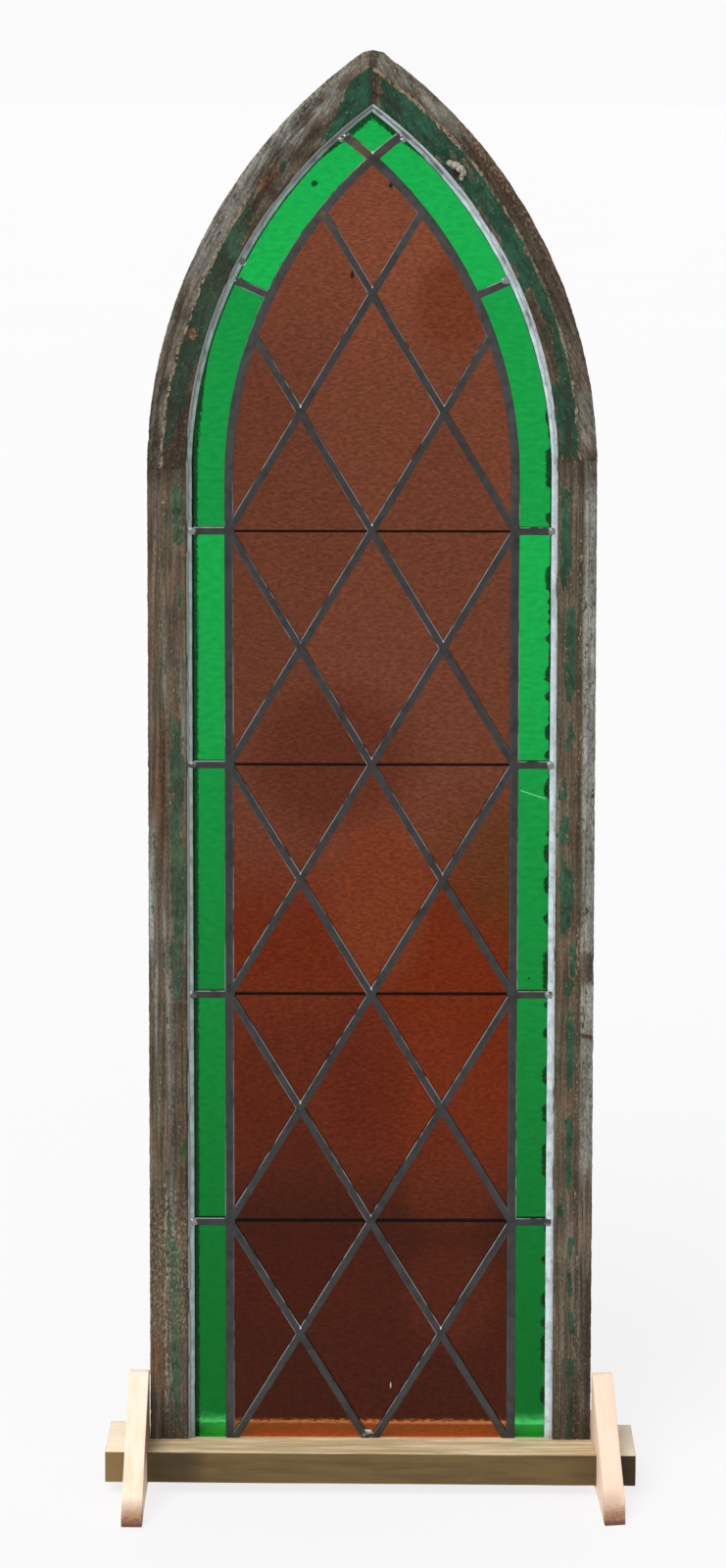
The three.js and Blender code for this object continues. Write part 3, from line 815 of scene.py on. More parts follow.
def dress_shelf(settings, material):
    bm = worn_board("stand_shelf", settings.rounding, 40, 4.0, 0.25 * MM)
    bm.normal_update()
    wear = bm.verts.layers.float_color.new("wear")
    for vert in bm.verts:
        x = vert.co.x / MM
        y = vert.co.y / MM
        # Beside the left foot the darkening is a painted shadow; the pale mask is painted light on the left
        # end and on the top behind the window.
        damp_and_shade = step(x, 318, 326) + 0.75 * near(x, -264, 18, 28) + 0.3 * step(x, 250, 300)
        pale = step(x, -310, -326) + 0.7 * step(x, 318, 326) + step(y, 3, 9) * step(abs(x), 320, 310)
        vert[wear] = (step(vert.normal.z, 0.5, 0.9), min(1.0, damp_and_shade), min(1.0, pale), 1.0)
    smooth_faces(bm, 40)
    return finished(bm, "sawn_shelf", ["stand_shelf"], material)


def dress_foot(name, settings, material):
    bm = worn_board(f"stand_foot_{name}", settings.rounding, 6, 9.0, 0.15 * MM)
    bm.normal_update()
    wear = bm.verts.layers.float_color.new("wear")
    nose = min(v.co.y for v in bm.verts)
    for vert in bm.verts:
        toe = step(vert.co.y, nose + 5 * MM, nose + 2 * MM)
        # dark is painted shade: under the nose of each foot, and on the left foot's inner face beside the
        # stile
        dark = step(vert.co.z, 13 * MM, 2 * MM) * step(vert.co.y, nose + 20 * MM, nose + 4 * MM)
        if name == "left":
            inner_face = step(vert.normal.x, 0.35, 0.65)
            dark += 0.2 * toe + inner_face * mix(0.3, 0.95, step(vert.co.z, 54 * MM, 66 * MM))
        toe *= mix(0.6, 1.0, step(vert.co.z, 26 * MM, 14 * MM))
        vert[wear] = (toe, min(1.0, dark), float(name == "right"), 1.0)
    smooth_faces(bm, 40)
    return finished(bm, f"pine_foot_{name}", [f"stand_foot_{name}"], material)


# ---------------------------------------------------------------- shader helpers


class Graph:
    """Short hand for building a node tree."""

    def __init__(self, tree):
        self.tree = tree

    def node(self, kind, values=None, **settings):
        made = self.tree.nodes.new(kind)
        for key, value in settings.items():
            setattr(made, key, value)
        for key, value in (values or {}).items():
            self.set(made.inputs[key], value)
        return made

    def set(self, socket, value):
        if isinstance(value, bpy.types.NodeSocket):
            self.tree.links.new(value, socket)
        elif socket.type == "RGBA" and len(value) == 3:
            socket.default_value = (*value, 1.0)
        else:
            socket.default_value = value

    def math(self, operation, *values, clamp=False):
        made = self.node("ShaderNodeMath", operation=operation, use_clamp=clamp)
        for socket, value in zip(made.inputs, values):
            self.set(socket, value)
        return made.outputs[0]

    def chain(self, operation, values, clamp):
        *firsts, last = values[1:]
        result = values[0]
        for value in firsts:
            result = self.math(operation, result, value)
        return self.math(operation, result, last, clamp=clamp)

    def times(self, *values, clamp=False):
        return self.chain("MULTIPLY", values, clamp)

    def plus(self, *values, clamp=False):
        return self.chain("ADD", values, clamp)

    def minus(self, first, second):
        return self.math("SUBTRACT", first, second)

    def inverse(self, mask):
        """A mask turned round: 1 where it is 0."""
        return self.minus(1.0, mask)

    def swing(self, value, size):
        """A noise value moved to swing about 0, to half a size either way."""
        return self.times(self.minus(value, 0.5), size)

    def away(self, value, middle):
        """How far a value is from a middle one."""
        return self.math("ABSOLUTE", self.minus(value, middle))

    def vector(self, operation, *values):
        made = self.node("ShaderNodeVectorMath", operation=operation)
        for socket, value in zip(made.inputs, values):
            self.set(socket, value)
        return made.outputs["Value" if operation in ("LENGTH", "DISTANCE", "DOT_PRODUCT") else "Vector"]

    def range(self, value, low, high, to_low=0.0, to_high=1.0):
        values = {"Value": value, "From Min": low, "From Max": high, "To Min": to_low, "To Max": to_high}
        return self.node("ShaderNodeMapRange", values, interpolation_type="SMOOTHSTEP").outputs["Result"]

    def blend(self, share, first, second, how="MIX"):
        made = self.node("ShaderNodeMix", data_type="RGBA", blend_type=how)
        self.set(made.inputs[0], share)
        self.set(made.inputs[6], first)
        self.set(made.inputs[7], second)
        return made.outputs[2]

    def coats(self, colour, *layers):
        """A colour under layers laid on in turn, each a mask and its own colour."""
        for mask, tone in layers:
            colour = self.blend(mask, colour, tone)
        return colour

    def shaded(self, colour, tone):
        """A colour made lighter and darker by a tone around 1."""
        return self.blend(1.0, colour, tone, "MULTIPLY")

    def where(self):
        """Place on the object."""
        return self.node("ShaderNodeTexCoord").outputs["Object"]

    def parts(self, vector):
        return self.node("ShaderNodeSeparateXYZ", {"Vector": vector}).outputs

    def noise(self, vector, scale, detail=3.0, roughness=0.5):
        values = {"Vector": vector, "Scale": scale, "Detail": detail, "Roughness": roughness}
        return self.node("ShaderNodeTexNoise", values).outputs["Fac"]

    def stretched(self, vector, scale, turn=(0.0, 0.0, 0.0)):
        made = self.node("ShaderNodeMapping", {"Vector": vector, "Scale": scale, "Rotation": turn})
        return made.outputs["Vector"]


GROUP_CACHE = {}


def group(name, outputs, build, **inputs):
    """A shader node group made once: a vector and named numbers go in, and named numbers come out."""
    if name not in GROUP_CACHE:
        tree = bpy.data.node_groups.new(name, "ShaderNodeTree")
        tree.interface.new_socket(name="Vector", in_out="INPUT", socket_type="NodeSocketVector")
        for label, default in inputs.items():
            socket = tree.interface.new_socket(name=label, in_out="INPUT", socket_type="NodeSocketFloat")
            socket.default_value = default
        for label in outputs:
            tree.interface.new_socket(name=label, in_out="OUTPUT", socket_type="NodeSocketFloat")
        source = tree.nodes.new("NodeGroupInput")
        sink = tree.nodes.new("NodeGroupOutput")
        for label, value in build(Graph(tree), source.outputs).items():
            tree.links.new(value, sink.inputs[label])
        GROUP_CACHE[name] = tree
    return GROUP_CACHE[name]


def use(graph, tree, **values):
    made = graph.tree.nodes.new("ShaderNodeGroup")
    made.node_tree = tree
    for key, value in values.items():
        graph.set(made.inputs[key.replace("_", " ")], value)
    return made.outputs


def timber_grain():
    """Long streaks and fine pores that follow a board's own length."""
    def build(g, source):
        along = g.stretched(source["Vector"], (1.0, 0.035, 0.3))
        streaks = g.noise(along, source["Streaks"], 4.0, 0.6)
        pores = g.noise(g.stretched(source["Vector"], (1.0, 0.02, 0.6)), source["Pores"], 5.0, 0.7)
        cloud = g.noise(source["Vector"], source["Clouds"], 3.0, 0.5)
        return {"Streaks": streaks, "Pores": pores, "Clouds": cloud}
    return group("Timber grain", ("Streaks", "Pores", "Clouds"), build,
                 Streaks=120.0, Pores=600.0, Clouds=12.0)


def arch_inset():
    """Distance in from a pointed arch's outline, from object coordinates, in metres."""
    def build(g, source):
        parts = g.parts(source["Vector"])
        across = g.plus(g.math("ABSOLUTE", parts["X"]), source["Reach"])
        rise = g.math("MAXIMUM", g.minus(parts["Z"], source["Spring"]), 0.0)
        from_centre = g.math("SQRT", g.plus(g.times(across, across), g.times(rise, rise)))
        radius = g.plus(source["Half"], source["Reach"])
        return {"Inset": g.minus(radius, from_centre)}
    return group("Arch inset", ("Inset",), build, Half=0.236, Reach=0.376, Spring=1.385)


def grime():
    """Uneven dust and dirt as a mask."""
    def build(g, source):
        coarse = g.noise(source["Vector"], source["Scale"], 5.0, 0.65)
        fine = g.noise(source["Vector"], g.times(source["Scale"], 7.0), 3.0, 0.6)
        both = g.plus(g.times(coarse, 0.7), g.times(fine, 0.3))
        return {"Mask": g.range(both, 0.45, 0.68), "Fine": fine}
    return group("Grime", ("Mask", "Fine"), build, Scale=30.0)


def scaled(colour, factor):
    """A colour times one factor, or times one for each channel."""
    factors = factor if isinstance(factor, tuple) else (factor,) * 3
    return tuple(min(1.0, c * f) for c, f in zip(colour, factors))


BLACK = (0.0, 0.0, 0.0)


def new_material(name):
    material = bpy.data.materials.new(name)
    material.use_nodes = True
    material.node_tree.nodes.clear()
    return material, Graph(material.node_tree)


def surface(graph, values, normal=None):
    """The material's own shader and output."""
    shader = graph.node("ShaderNodeBsdfPrincipled", values)
    if normal is not None:
        graph.set(shader.inputs["Normal"], normal)
    graph.node("ShaderNodeOutputMaterial", {"Surface": shader.outputs["BSDF"]})


def bump(graph, height, strength, distance):
    made = graph.node("ShaderNodeBump", {"Height": height, "Strength": strength, "Distance": distance})
    return made.outputs["Normal"]


def wear_channels(graph, layer="wear"):
    attribute = graph.node("ShaderNodeAttribute", attribute_name=layer, attribute_type="GEOMETRY")
    parts = graph.node("ShaderNodeSeparateColor", {"Color": attribute.outputs["Color"]}).outputs
    return parts["Red"], parts["Green"], parts["Blue"], attribute.outputs["Alpha"]


def timber_material(settings):
    """Old weathered oak: brown and olive streaks, splits, silvering, rust, flaking paint and crumbs."""
    material, g = new_material("Weathered timber")
    uv = g.node("ShaderNodeUVMap", uv_map="grain").outputs["UV"]
    grain = use(g, timber_grain(), Vector=uv, Streaks=230.0, Pores=620.0, Clouds=22.0)
    broad = g.noise(g.stretched(uv, (1.0, 0.1, 1.0)), 75.0, 3.0, 0.6)
    fleck = g.noise(g.stretched(uv, (1.0, 0.4, 1.0)), 430.0, 4.0, 0.75)
    chips = g.noise(uv, 190.0, 5.0, 0.75)
    paint, mortar, damp_and_shade, silver = wear_channels(g)
    rust, clean, crumbs, _alpha = wear_channels(g, "stain")

    rusty = g.times(rust, g.range(chips, 0.35, 0.6, 0.25, 0.9), clamp=True)
    silvered = g.times(silver, g.range(chips, 0.3, 0.55, 0.35, 1.0), clamp=True)
    wood = g.coats(g.blend(g.range(broad, 0.4, 0.6), settings.brown, settings.olive),
                   (rusty, settings.rust), (g.range(rust, 1.0, 1.4), tint(170, 98, 46)),
                   (silvered, settings.silver))
    shade = g.times(g.range(grain["Streaks"], 0.36, 0.6, 0.62, 1.1), g.range(fleck, 0.34, 0.62, 0.66, 1.12))
    shade = g.times(shade, g.range(grain["Clouds"], 0.35, 0.65, 0.8, 1.1))
    bare = g.times(g.range(fleck, 0.62, 0.72), g.range(broad, 0.5, 0.62, 0.1, 0.5))
    # darker where damp, and where the marks lay painted shade
    damp_and_shade_mask = g.times(damp_and_shade, g.range(fleck, 0.3, 0.7, 0.92, 0.55))
    split = g.times(g.range(grain["Pores"], 0.57, 0.68), 0.65)
    wood = g.coats(g.shaded(wood, shade), (bare, settings.pale), (damp_and_shade_mask, settings.dark),
                   (split, settings.split))

    edge = g.plus(paint, g.swing(chips, 1.5), g.swing(grain["Streaks"], 1.9))
    painted = g.times(g.range(edge, 0.42, 0.62), g.range(rust, 1.0, 1.3, 1.0, 0.0))
    wrinkles = g.noise(g.stretched(uv, (1.0, 0.35, 1.0)), 170.0, 4.0, 0.7)
    tone = g.times(g.range(grain["Clouds"], 0.38, 0.62, 0.7, 1.12),
                   g.range(wrinkles, 0.36, 0.62, 0.65, 1.2))
    worn = g.times(g.range(chips, 0.52, 0.66, 0.0, 0.6), g.range(clean, 0.0, 1.0, 1.0, 0.45))
    coat = g.coats(g.shaded(g.blend(clean, settings.dull_paint, settings.clean_paint), tone),
                   (worn, g.blend(0.35, settings.brown, BLACK)),
                   (g.times(damp_and_shade, 0.6, clamp=True), settings.dark))

    rim = g.times(g.range(edge, 0.3, 0.4), g.inverse(painted))
    flecked = g.times(g.plus(g.times(rim, 0.6), crumbs), g.range(fleck, 0.5, 0.62))
    pasted = g.range(g.plus(mortar, g.swing(fleck, 1.3)), 0.36, 0.58)
    paste = g.blend(g.range(fleck, 0.36, 0.62), g.blend(0.3, settings.brown, BLACK), settings.pale)
    grey_paste = g.blend(g.range(fleck, 0.34, 0.6), tint(96, 90, 80), tint(200, 194, 180))
    paste = g.blend(g.range(silver, 1.2, 1.8, 0.0, 0.8), paste, grey_paste)
    colour = g.coats(wood, (painted, coat), (g.math("MINIMUM", flecked, 0.7), settings.pale),
                     (pasted, paste))

    height = g.plus(g.times(grain["Streaks"], 0.5), g.times(fleck, 0.6))
    height = g.minus(height, g.times(split, 0.6))
    height = g.plus(g.times(height, g.range(painted, 0.0, 1.0, 1.0, 0.5)), g.times(painted, 0.4))
    height = g.plus(height, g.times(pasted, fleck, 0.8))
    surface(g, {"Base Color": colour, "Roughness": g.range(painted, 0.0, 1.0, 0.92, 0.7),
                "Specular IOR Level": 0.15}, bump(g, height, 0.9, 1.0 * MM))
    return material


def lead_material(name, colour, solder_and_highlight, stain, film, metal):
    material, g = new_material(name)
    where = g.where()
    soldered, stained, highlight_and_pale, clear = wear_channels(g)
    dirt = use(g, grime(), Vector=where, Scale=45.0)
    drawn = g.noise(where, 70.0, 3.0, 0.6)
    # Painted highlights on the leads and solder, and the pale lumps at the joints, take the bright solder
    # colour.
    highlight_mask = g.times(highlight_and_pale, g.range(g.noise(where, 40.0, 2.0, 0.5), 0.36, 0.52))
    tone = g.coats(g.blend(g.range(drawn, 0.35, 0.65), scaled(colour, 0.88), scaled(colour, 1.12)),
                   (g.times(soldered, 0.4, clamp=True), scaled(colour, 0.3)),
                   (g.times(g.inverse(clear), g.range(dirt["Fine"], 0.4, 0.6, 0.3, 0.8)), film),
                   (g.math("MAXIMUM", g.times(dirt["Mask"], 0.4), g.times(stained, 0.85)), stain),
                   (highlight_mask, solder_and_highlight))
    gloss = g.range(dirt["Mask"], 0.0, 1.0, 0.45, 0.7)
    surface(g, {"Base Color": tone, "Roughness": gloss, "Metallic": metal, "Specular IOR Level": 0.3},
            bump(g, g.plus(drawn, g.times(dirt["Fine"], 0.6)), 0.15, 0.5 * MM))
    return material


def putty_material(name, colour):
    material, g = new_material(name)
    where = g.where()
    _red, worn, _blue, _alpha = wear_channels(g)
    dirt = use(g, grime(), Vector=where, Scale=60.0)
    colour = g.coats(colour, (g.times(dirt["Mask"], 0.7), tint(112, 112, 102)),
                     (g.times(worn, 0.8), tint(74, 64, 54)))
    surface(g, {"Base Color": colour, "Roughness": 0.9}, bump(g, dirt["Fine"], 0.6, 0.6 * MM))
    return material


def iron_material():
    material, g = new_material("Saddle bar iron")
    where = g.where()
    dirt = use(g, grime(), Vector=where, Scale=90.0)
    colour = g.blend(dirt["Mask"], tint(30, 26, 24), tint(66, 42, 30))
    surface(g, {"Base Color": colour, "Roughness": g.range(dirt["Mask"], 0.0, 1.0, 0.5, 0.85),
                "Metallic": 0.4}, bump(g, dirt["Fine"], 0.4, 0.3 * MM))
    return material


def glass_ripple():
    """Rolled ripples, hammered dimples and seeds of old cathedral glass."""
    def build(g, source):
        lain = g.stretched(source["Vector"], (0.6, 1.0, 1.4))
        rolled = g.noise(lain, g.times(source["Scale"], 0.35), 2.0, 0.5)
        dimples = g.noise(lain, source["Scale"], 3.0, 0.65)
        cells = g.node("ShaderNodeTexVoronoi",
                       {"Vector": source["Vector"], "Scale": 75.0, "Randomness": 1.0})
        seeds = g.range(cells.outputs["Distance"], 0.10, 0.05)
        height = g.plus(rolled, g.times(dimples, 0.7))
        return {"Height": height, "Tone": dimples, "Seeds": seeds}
    return group("Glass ripple", ("Height", "Tone", "Seeds"), build, Scale=150.0)


def glass_output(g, colour, base, roughness, normal):
    """See-through glass that also lets light of its base colour past it."""
    shadow = tuple(math.sqrt(c) for c in base)
    shader = g.node("ShaderNodeBsdfPrincipled",
                    {"Base Color": colour, "Roughness": roughness, "IOR": 1.18, "Metallic": 0.0,
                     "Transmission Weight": 1.0, "Specular IOR Level": 0.05, "Normal": normal})
    passing = g.node("ShaderNodeBsdfTransparent", {"Color": shadow})
    light = g.node("ShaderNodeLightPath")
    both = g.node("ShaderNodeMixShader", {0: light.outputs["Is Shadow Ray"], 1: shader.outputs["BSDF"],
                                          2: passing.outputs["BSDF"]})
    g.node("ShaderNodeOutputMaterial", {"Surface": both.outputs[0]})


def spot(g, where, x, z, radius):
    """A mask for a small mark on a pane at x and z, worked out in its own plane."""
    flat = g.vector("MULTIPLY", g.vector("SUBTRACT", where, (x, 0.0, z)), (1.0, 0.0, 1.0))
    far = g.plus(g.vector("LENGTH", flat), g.times(g.noise(where, 300.0, 2.0, 0.6), radius))
    return g.range(far, 1.6 * radius, 1.2 * radius)


def foot_light(g, height, tone, high, low):
    """A mask for the ragged band at the foot of the glass that the shelf lights, from its two heights."""
    return g.range(g.plus(height, g.swing(tone, 22 * MM)), LIFT + high, LIFT + low)


def painted_ripple_shading(g, colour, tone, depth):
    """A glass colour made lighter and darker by its dimples: painted light and shade, in place of the light
    that the ripples bend and reflect.
    """
    dark = g.blend(depth, colour, BLACK)
    light = g.shaded(colour, (1 + depth * 0.9,) * 3)
    return g.blend(g.range(tone, 0.38, 0.62), dark, light)


def glass_start(name, offset, scale):
    """A new glass with its place, the parts of that, and its own ripples."""
    material, g = new_material(name)
    where = g.where()
    ripple = use(g, glass_ripple(), Vector=g.vector("ADD", where, offset), Scale=scale)
    return material, g, where, g.parts(where), ripple


def green_glass(name, settings, tone, offset):
    material, g, where, parts, ripple = glass_start(name, offset, 130.0)
    base = scaled(settings.green, tone)
    # darker towards the foot: painted shade
    colour = g.blend(g.range(parts["Z"], 0.05, 1.45), scaled(settings.shaded_green, tone), base)
    colour = painted_ripple_shading(g, colour, ripple["Tone"], 0.09)
    foot = g.times(foot_light(g, parts["Z"], ripple["Tone"], 36 * MM, 14 * MM),
                   g.range(parts["Z"], LIFT, LIFT + 20 * MM, 0.35, 0.9))
    inset = use(g, arch_inset(), Vector=where, Half=CAME_INNER.half, Reach=CAME_INNER.reach,
                Spring=CAME_INNER.spring)["Inset"]
    left = g.times(g.range(parts["X"], 0.02, -0.02), g.range(parts["Z"], 1.56, 1.46))
    crown = g.range(parts["Z"], 1.80, 1.84)
    patches = g.range(g.noise(g.stretched(where, (0.0, 0.0, 1.0)), 19.0, 2.0, 0.5), 0.48, 0.54)
    right = g.times(g.range(parts["X"], -0.02, 0.02), patches, g.range(parts["Z"], 1.5, 1.42))
    margin = g.plus(g.times(left, 3.5 * MM), g.times(right, 4.5 * MM), g.times(crown, 4.0 * MM))
    ragged = g.math("MAXIMUM", left, g.math("MAXIMUM", right, crown))
    fringe = g.noise(where, 260.0, 4.0, 0.7)
    reach = g.plus(margin, g.times(ragged, g.minus(fringe, 0.35), 14.0 * MM))
    edge = g.range(g.minus(inset, reach), 0.8 * MM, -0.8 * MM)
    smudge = g.range(g.noise(where, 320.0, 3.0, 0.7), 0.3, 0.6, 0.7, 1.0)
    specks = g.math("MAXIMUM", spot(g, where, -77 * MM, 1714 * MM + LIFT, 4.5 * MM),
                    spot(g, where, 213 * MM, 640 * MM + LIFT, 1.6 * MM))
    scratch_x, scratch_z, slope = 217 * MM, 892 * MM + LIFT, 0.33
    line = g.math("ABSOLUTE", g.plus(g.minus(parts["Z"], scratch_z),
                                     g.times(g.minus(parts["X"], scratch_x), slope)))
    scratch = g.times(g.range(line, 0.9 * MM, 0.3 * MM),
                      g.range(g.away(parts["X"], scratch_x), 18 * MM, 15 * MM))
    colour = g.coats(colour, (foot, settings.lit_green), (g.times(edge, smudge, 0.95), settings.dirt),
                     (g.times(specks, 0.85), settings.dirt), (g.times(scratch, 0.7), tint(190, 250, 205)),
                     (g.times(ripple["Seeds"], 0.35), settings.dirt))
    glass_output(g, colour, base, 0.2, bump(g, ripple["Height"], 0.6, settings.ripple))
    return material


PAINTED_SHADE, WARM = (0.5, 0.22, 0.1), (1.1, 0.7, 0.35)   # how a patch changes the amber: the first darkens it as painted shade, the second warms it
CLOUDS = [                                       # x, height over the foot, half sizes, share and change
    (-95, 490, 130, 110, 0.45, PAINTED_SHADE),
    (0, 500, 60, 120, 0.35, PAINTED_SHADE),
    (-50, 940, 115, 105, 0.50, PAINTED_SHADE),
    (-110, 225, 100, 80, 0.35, PAINTED_SHADE),
    (10, 745, 65, 115, 0.80, WARM),
    (110, 1555, 55, 70, 0.80, (0.93, 0.72, 0.45)),
    (110, 200, 70, 80, 0.30, (0.9, 0.6, 0.4)),
    (110, 345, 70, 60, 0.35, (0.97, 0.72, 0.5)),
]


def cloud_mask(g, where, cloud):
    """A mask for a soft round patch where the amber's colour is changed."""
    x, z, wide, tall, share, _change = cloud
    away = g.vector("MULTIPLY", g.vector("SUBTRACT", where, (x * MM, 0.0, z * MM + LIFT)),
                    (1 / (wide * MM), 0.0, 1 / (tall * MM)))
    return g.times(g.range(g.vector("LENGTH", away), 1.25, 0.6), share)


def amber_glass(name, settings, tone, offset):
    material, g, where, parts, ripple = glass_start(name, offset, 225.0)
    uneven = g.noise(where, 3.2, 2.0, 0.5)
    low = g.range(parts["Z"], 0.36, 0.52)
    high = g.range(parts["Z"], 0.90, 0.77)
    glow = g.times(low, high, g.range(uneven, 0.35, 0.6, 0.7, 1.0))
    rightward = g.plus(g.range(parts["X"], -0.12, 0.1, 0.55, 1.0),
                       g.range(parts["Z"], 0.62, 0.74, 0.0, 0.45))
    glow = g.times(g.times(glow, rightward, clamp=True),
                   g.inverse(cloud_mask(g, where, (10, 755, 65, 120, 1.0, WARM))))
    olive = g.times(g.range(parts["X"], 0.06, 0.17), g.range(g.away(parts["Z"], 0.86), 0.14, 0.03))
    base = scaled(settings.amber, tone)
    # Lighter at the crown, darker and redder lower down, and umber towards the foot: the darkening is
    # painted shade
    colour = g.blend(g.range(parts["Z"], 0.72, 1.02), scaled(base, (0.97, 0.74, 0.6)), base)
    colour = g.blend(g.range(parts["Z"], 0.36, 0.60), scaled(settings.umber, tone), colour)
    colour = g.coats(colour, (g.range(parts["Z"], 1.48, 1.70), scaled(base, 1.32)),
                     (glow, scaled(settings.ember, tone)), (g.times(olive, 0.8), settings.olive),
                     *((cloud_mask(g, where, cloud), scaled(base, cloud[-1])) for cloud in CLOUDS))
    foot = g.times(foot_light(g, parts["Z"], ripple["Tone"], 26 * MM, 21 * MM),
                   g.range(ripple["Tone"], 0.35, 0.6, 0.75, 1.0))
    colour = g.coats(painted_ripple_shading(g, colour, ripple["Tone"], 0.28), (foot, settings.lit_amber),
                     (g.times(ripple["Seeds"], 0.45), settings.umber))
    glass_output(g, colour, base, 0.22, bump(g, ripple["Height"], 0.6, settings.ripple))
    return material


def shelf_material(settings):
    material, g = new_material("Treated timber")
    where = g.where()
    turned = g.stretched(where, (1.0, 1.0, 1.0), (0.0, 0.0, math.pi / 2))
    grain = use(g, timber_grain(), Vector=turned, Streaks=260.0, Pores=620.0, Clouds=7.0)
    dirt = use(g, grime(), Vector=where, Scale=18.0)
    top, damp_and_shade, pale, _alpha = wear_channels(g)
    # The sides of the left end are lightened as painted light; the dark stain beside the left foot is a
    # painted shadow.
    stained = g.coats(settings.shelf_dark,
                      (g.range(grain["Streaks"], 0.3, 0.62, 0.35, 1.0), settings.shelf),
                      (g.times(pale, 0.4), tint(160, 132, 88)), (g.times(damp_and_shade, 0.92), tint(46, 36, 26)))
    # The top face is much lighter than the sides: painted light from above.
    top_in_painted_light = g.coats(tint(184, 160, 118), (g.range(grain["Streaks"], 0.4, 0.62), settings.shelf_top),
                     (g.times(dirt["Mask"], 0.4), tint(168, 170, 124)), (pale, tint(238, 222, 198)),
                     (g.times(damp_and_shade, pale, 0.5), tint(210, 209, 196)))
    colour = g.coats(stained, (top, top_in_painted_light),
                     (g.range(grain["Pores"], 0.52, 0.7, 0.0, 0.22), tint(70, 54, 34)))
    height = g.plus(g.times(grain["Streaks"], 0.6), g.times(grain["Pores"], 0.4))
    surface(g, {"Base Color": colour, "Roughness": g.range(grain["Pores"], 0.3, 0.7, 0.8, 0.92),
                "Specular IOR Level": 0.3}, bump(g, height, 0.5, 0.5 * MM))
    return material


def pine_material(settings):
    material, g = new_material("Pale pine")
    where = g.where()
    turned = g.stretched(where, (1.0, 1.0, 1.0), (math.radians(53), 0.0, 0.0))
    grain = use(g, timber_grain(), Vector=turned, Streaks=90.0, Pores=420.0, Clouds=9.0)
    # dark is painted shade on the feet
    end, dark, pink, _alpha = wear_channels(g)
    rings = g.noise(g.stretched(where, (1.0, 1.0, 2.5)), 160.0, 3.0, 0.6)
    sawn = g.blend(g.range(rings, 0.35, 0.65), settings.end_grain, tint(140, 100, 76))
    colour = g.coats(settings.pine, (g.range(grain["Streaks"], 0.4, 0.66), tint(243, 216, 186)),
                     (g.times(pink, 0.6), tint(242, 208, 186)),
                     (g.range(grain["Pores"], 0.5, 0.75, 0.0, 0.25), tint(220, 186, 150)),
                     (end, sawn), (g.times(dark, 0.9), tint(92, 46, 34)))
    surface(g, {"Base Color": colour, "Roughness": g.range(grain["Pores"], 0.3, 0.7, 0.62, 0.8)},
            bump(g, grain["Streaks"], 0.3, 0.3 * MM))
    return material


def floor_material(settings):
    material, g = new_material("Studio floor")
    where = g.where()
    cloud = g.noise(where, 0.7, 2.0, 0.5)
    colour = g.blend(cloud, scaled(settings.floor, 0.985), settings.floor)
    surface(g, {"Base Color": colour, "Roughness": 0.95, "Specular IOR Level": 0.1,
                "Emission Color": colour, "Emission Strength": settings.glow})
    return material


# ---------------------------------------------------------------- operators


def give(node, material):
    """Puts a material on one of the packed model's own pieces."""
    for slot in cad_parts[node].material_slots:
        slot.material = material


class WINDOW_OT_timber(bpy.types.Operator):
    """Makes the four weathered frame members"""
    bl_idname = "window.timber"
    bl_label = "Weathered Frame"

    def execute(self, context):
        settings = context.scene.window_timber
        timber = timber_material(settings)
        for name, side in SIDES.items():
            dress_stile(name, side, settings, timber)
            dress_arch(name, side, settings, timber)
        return {"FINISHED"}


class WINDOW_OT_leads(bpy.types.Operator):
    """Makes the rounded leads and their soldered joints"""
    bl_idname = "window.leads"
    bl_label = "Leads and Solder"

    def execute(self, context):
        settings = context.scene.window_lead
        solder_and_highlight, film = settings.solder_and_highlight, settings.lead_film
        net = lead_material("Dull lead", settings.lead, solder_and_highlight, tint(34, 31, 28), film, 0.55)
        dress_net(settings, net)
        for name, side in SIDES.items():
            tone = getattr(settings, f"edge_{name}")
            oxide = lead_material(f"Pale lead {name}", tone, solder_and_highlight, tint(84, 90, 94), film, 0.25)
            dress_edge_came(name, side, oxide)
        return {"FINISHED"}


class WINDOW_OT_putty(bpy.types.Operator):
    """Makes the uneven putty between the leads and the frame"""
    bl_idname = "window.putty"
    bl_label = "Glazing Putty"

    def execute(self, context):
        settings = context.scene.window_lead
        for name, side in SIDES.items():
            putty = putty_material(f"Glazing putty {name}", getattr(settings, f"putty_{name}"))
            dress_bead(name, side, putty)
        return {"FINISHED"}


# Lightness of the green panes that differ from the rest
GREEN_TONES = {"left_1": 0.90, "left_2": 0.88, "left_3": 0.80, "left_4": 0.90, "left_5": 0.73,
               "right_2": 0.93, "right_3": 0.93, "right_5": 0.82}


class WINDOW_OT_glass(bpy.types.Operator):
    """Gives every pane its own tone of green or amber glass"""
    bl_idname = "window.glass"
    bl_label = "Glass"

    def execute(self, context):
        settings = context.scene.window_glass
        panes = sorted(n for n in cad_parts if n.startswith("glass_"))
        if not panes:
            raise RuntimeError("the packed model has no glass")
        for number, node in enumerate(panes):
            make = green_glass if "green" in node else amber_glass
            spread = 0.10 if "green" in node else 0.14
            tone = 1 + spread * noise.noise(Vector((number * 1.37, 0.5, 2.5)))
            tone *= GREEN_TONES.get(node.removeprefix("glass_green_"), 1.0)
            if "amber" in node and "left" in node:
                tone *= settings.left_tone
            offset = (number * 0.31, 0.0, number * 0.17)
            material = make(node.replace("_", " "), settings, tone, offset)
            give(node, material)
        return {"FINISHED"}


class WINDOW_OT_bars(bpy.types.Operator):
    """Gives the saddle bars their rusty iron"""
    bl_idname = "window.bars"
    bl_label = "Saddle Bars"

    def execute(self, context):
        iron = iron_material()
        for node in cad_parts:
            if node.startswith("saddle_bar"):
                give(node, iron)
        return {"FINISHED"}


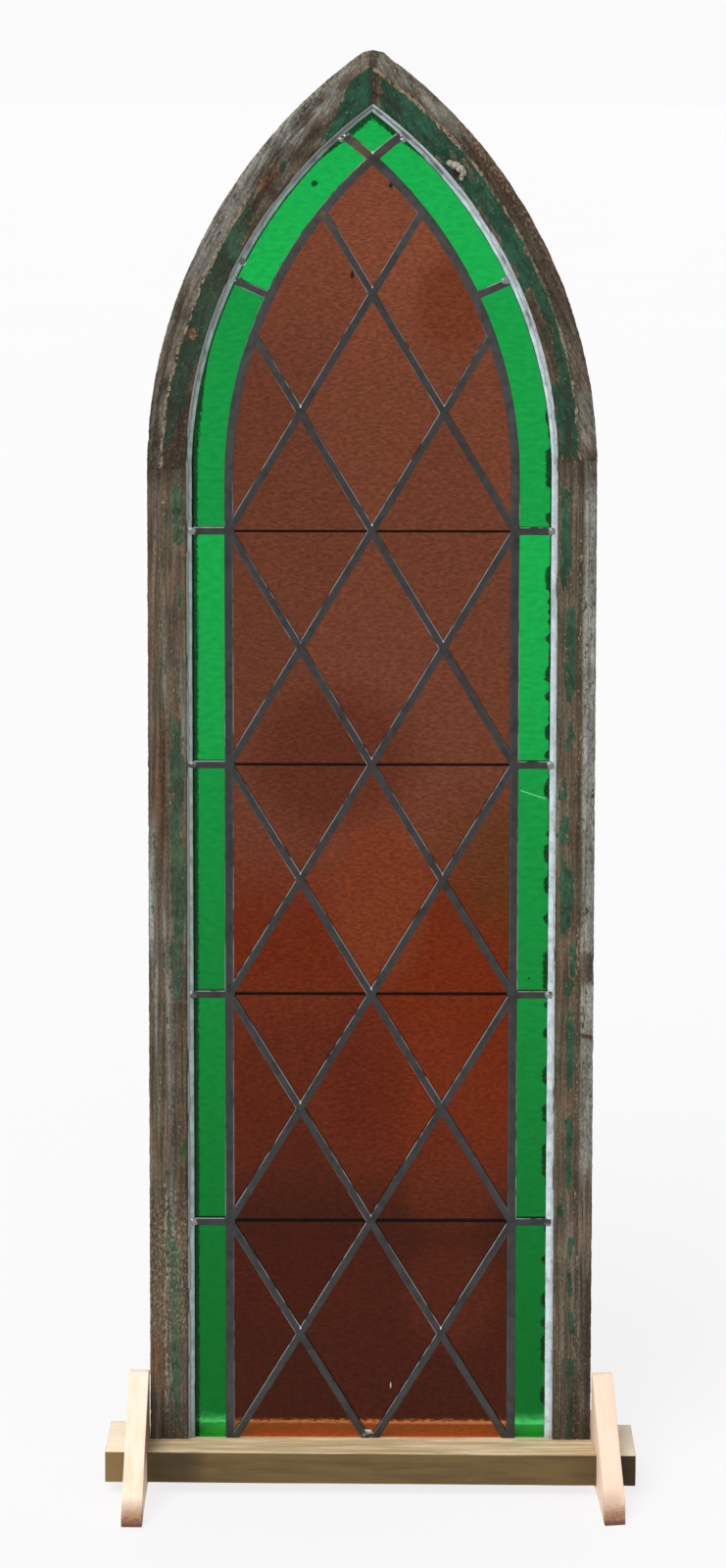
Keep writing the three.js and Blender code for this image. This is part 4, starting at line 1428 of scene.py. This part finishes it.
class WINDOW_OT_stand(bpy.types.Operator):
    """Makes the sawn shelf and the two pine feet"""
    bl_idname = "window.stand"
    bl_label = "Stand"

    def execute(self, context):
        settings = context.scene.window_stand
        dress_shelf(settings, shelf_material(settings))
        pine = pine_material(settings)
        for name in SIDES:
            dress_foot(name, settings, pine)
        return {"FINISHED"}


class WINDOW_OT_stage(bpy.types.Operator):
    """Sets the pale floor, the soft light and the camera"""
    bl_idname = "window.stage"
    bl_label = "Stage"

    def execute(self, context):
        scene = context.scene
        settings = scene.window_stage
        bm = bmesh.new()
        bmesh.ops.create_grid(bm, x_segments=8, y_segments=8, size=45.0)
        floor = made_object(bm, "studio_floor", floor_material(settings))

        world = bpy.data.worlds.new("Soft studio")
        world.use_nodes = True
        g = Graph(world.node_tree)
        background = world.node_tree.nodes["Background"]
        background.inputs["Color"].default_value = (0.985, 0.975, 0.98, 1.0)
        seen = g.node("ShaderNodeLightPath").outputs["Is Camera Ray"]
        strength = g.plus(settings.ambient, g.times(seen, settings.backdrop - settings.ambient))
        g.set(background.inputs["Strength"], strength)
        scene.world = world
        scene.view_settings.view_transform = "Standard"

        key = bpy.data.lights.new("key", "SUN")
        key.energy = settings.sun
        key.angle = math.radians(35)
        key_object = bpy.data.objects.new("key", key)
        key_object.rotation_euler = (math.radians(34), 0.0, math.radians(-38))
        scene.collection.objects.link(key_object)

        camera = bpy.data.cameras.new("camera")
        camera.sensor_width, camera.lens, camera.clip_end = 36.0, 58.93, 200.0
        camera.shift_x, camera.shift_y = -0.0040, -0.399
        camera_object = bpy.data.objects.new("camera", camera)
        camera_object.location = (-4.9 * MM, -3.380, 2.019)
        camera_object.rotation_euler = (math.radians(90 - 3.57), math.radians(-0.1), 0.0)
        scene.collection.objects.link(camera_object)
        scene.camera = camera_object
        return {"FINISHED"}


STEPS = [
    WINDOW_OT_timber,
    WINDOW_OT_leads,
    WINDOW_OT_putty,
    WINDOW_OT_glass,
    WINDOW_OT_bars,
    WINDOW_OT_stand,
    WINDOW_OT_stage,
]


class WINDOW_PT_panel(bpy.types.Panel):
    """Shows the window's settings and a button for each step"""
    bl_idname = "WINDOW_PT_panel"
    bl_label = "Stained Glass Window"
    bl_space_type = "VIEW_3D"
    bl_region_type = "UI"
    bl_category = "Window"

    def draw(self, context):
        for name, settings in SETTINGS.items():
            box = self.layout.box()
            box.label(text=settings.__doc__)
            for key in settings.__annotations__:
                box.prop(getattr(context.scene, name), key)
        for operator in STEPS:
            self.layout.operator(operator.bl_idname)


CLASSES = [*SETTINGS.values(), *STEPS, WINDOW_PT_panel]


def register():
    for cls in CLASSES:
        bpy.utils.register_class(cls)
    for name, settings in SETTINGS.items():
        setattr(bpy.types.Scene, name, PointerProperty(type=settings))


def unregister():
    for name in SETTINGS:
        delattr(bpy.types.Scene, name)
    for cls in reversed(CLASSES):
        bpy.utils.unregister_class(cls)


def main():
    register()
    for operator in STEPS:
        group_name, call = operator.bl_idname.split(".")
        getattr(getattr(bpy.ops, group_name), call)()


if __name__ == "__main__":
    main()
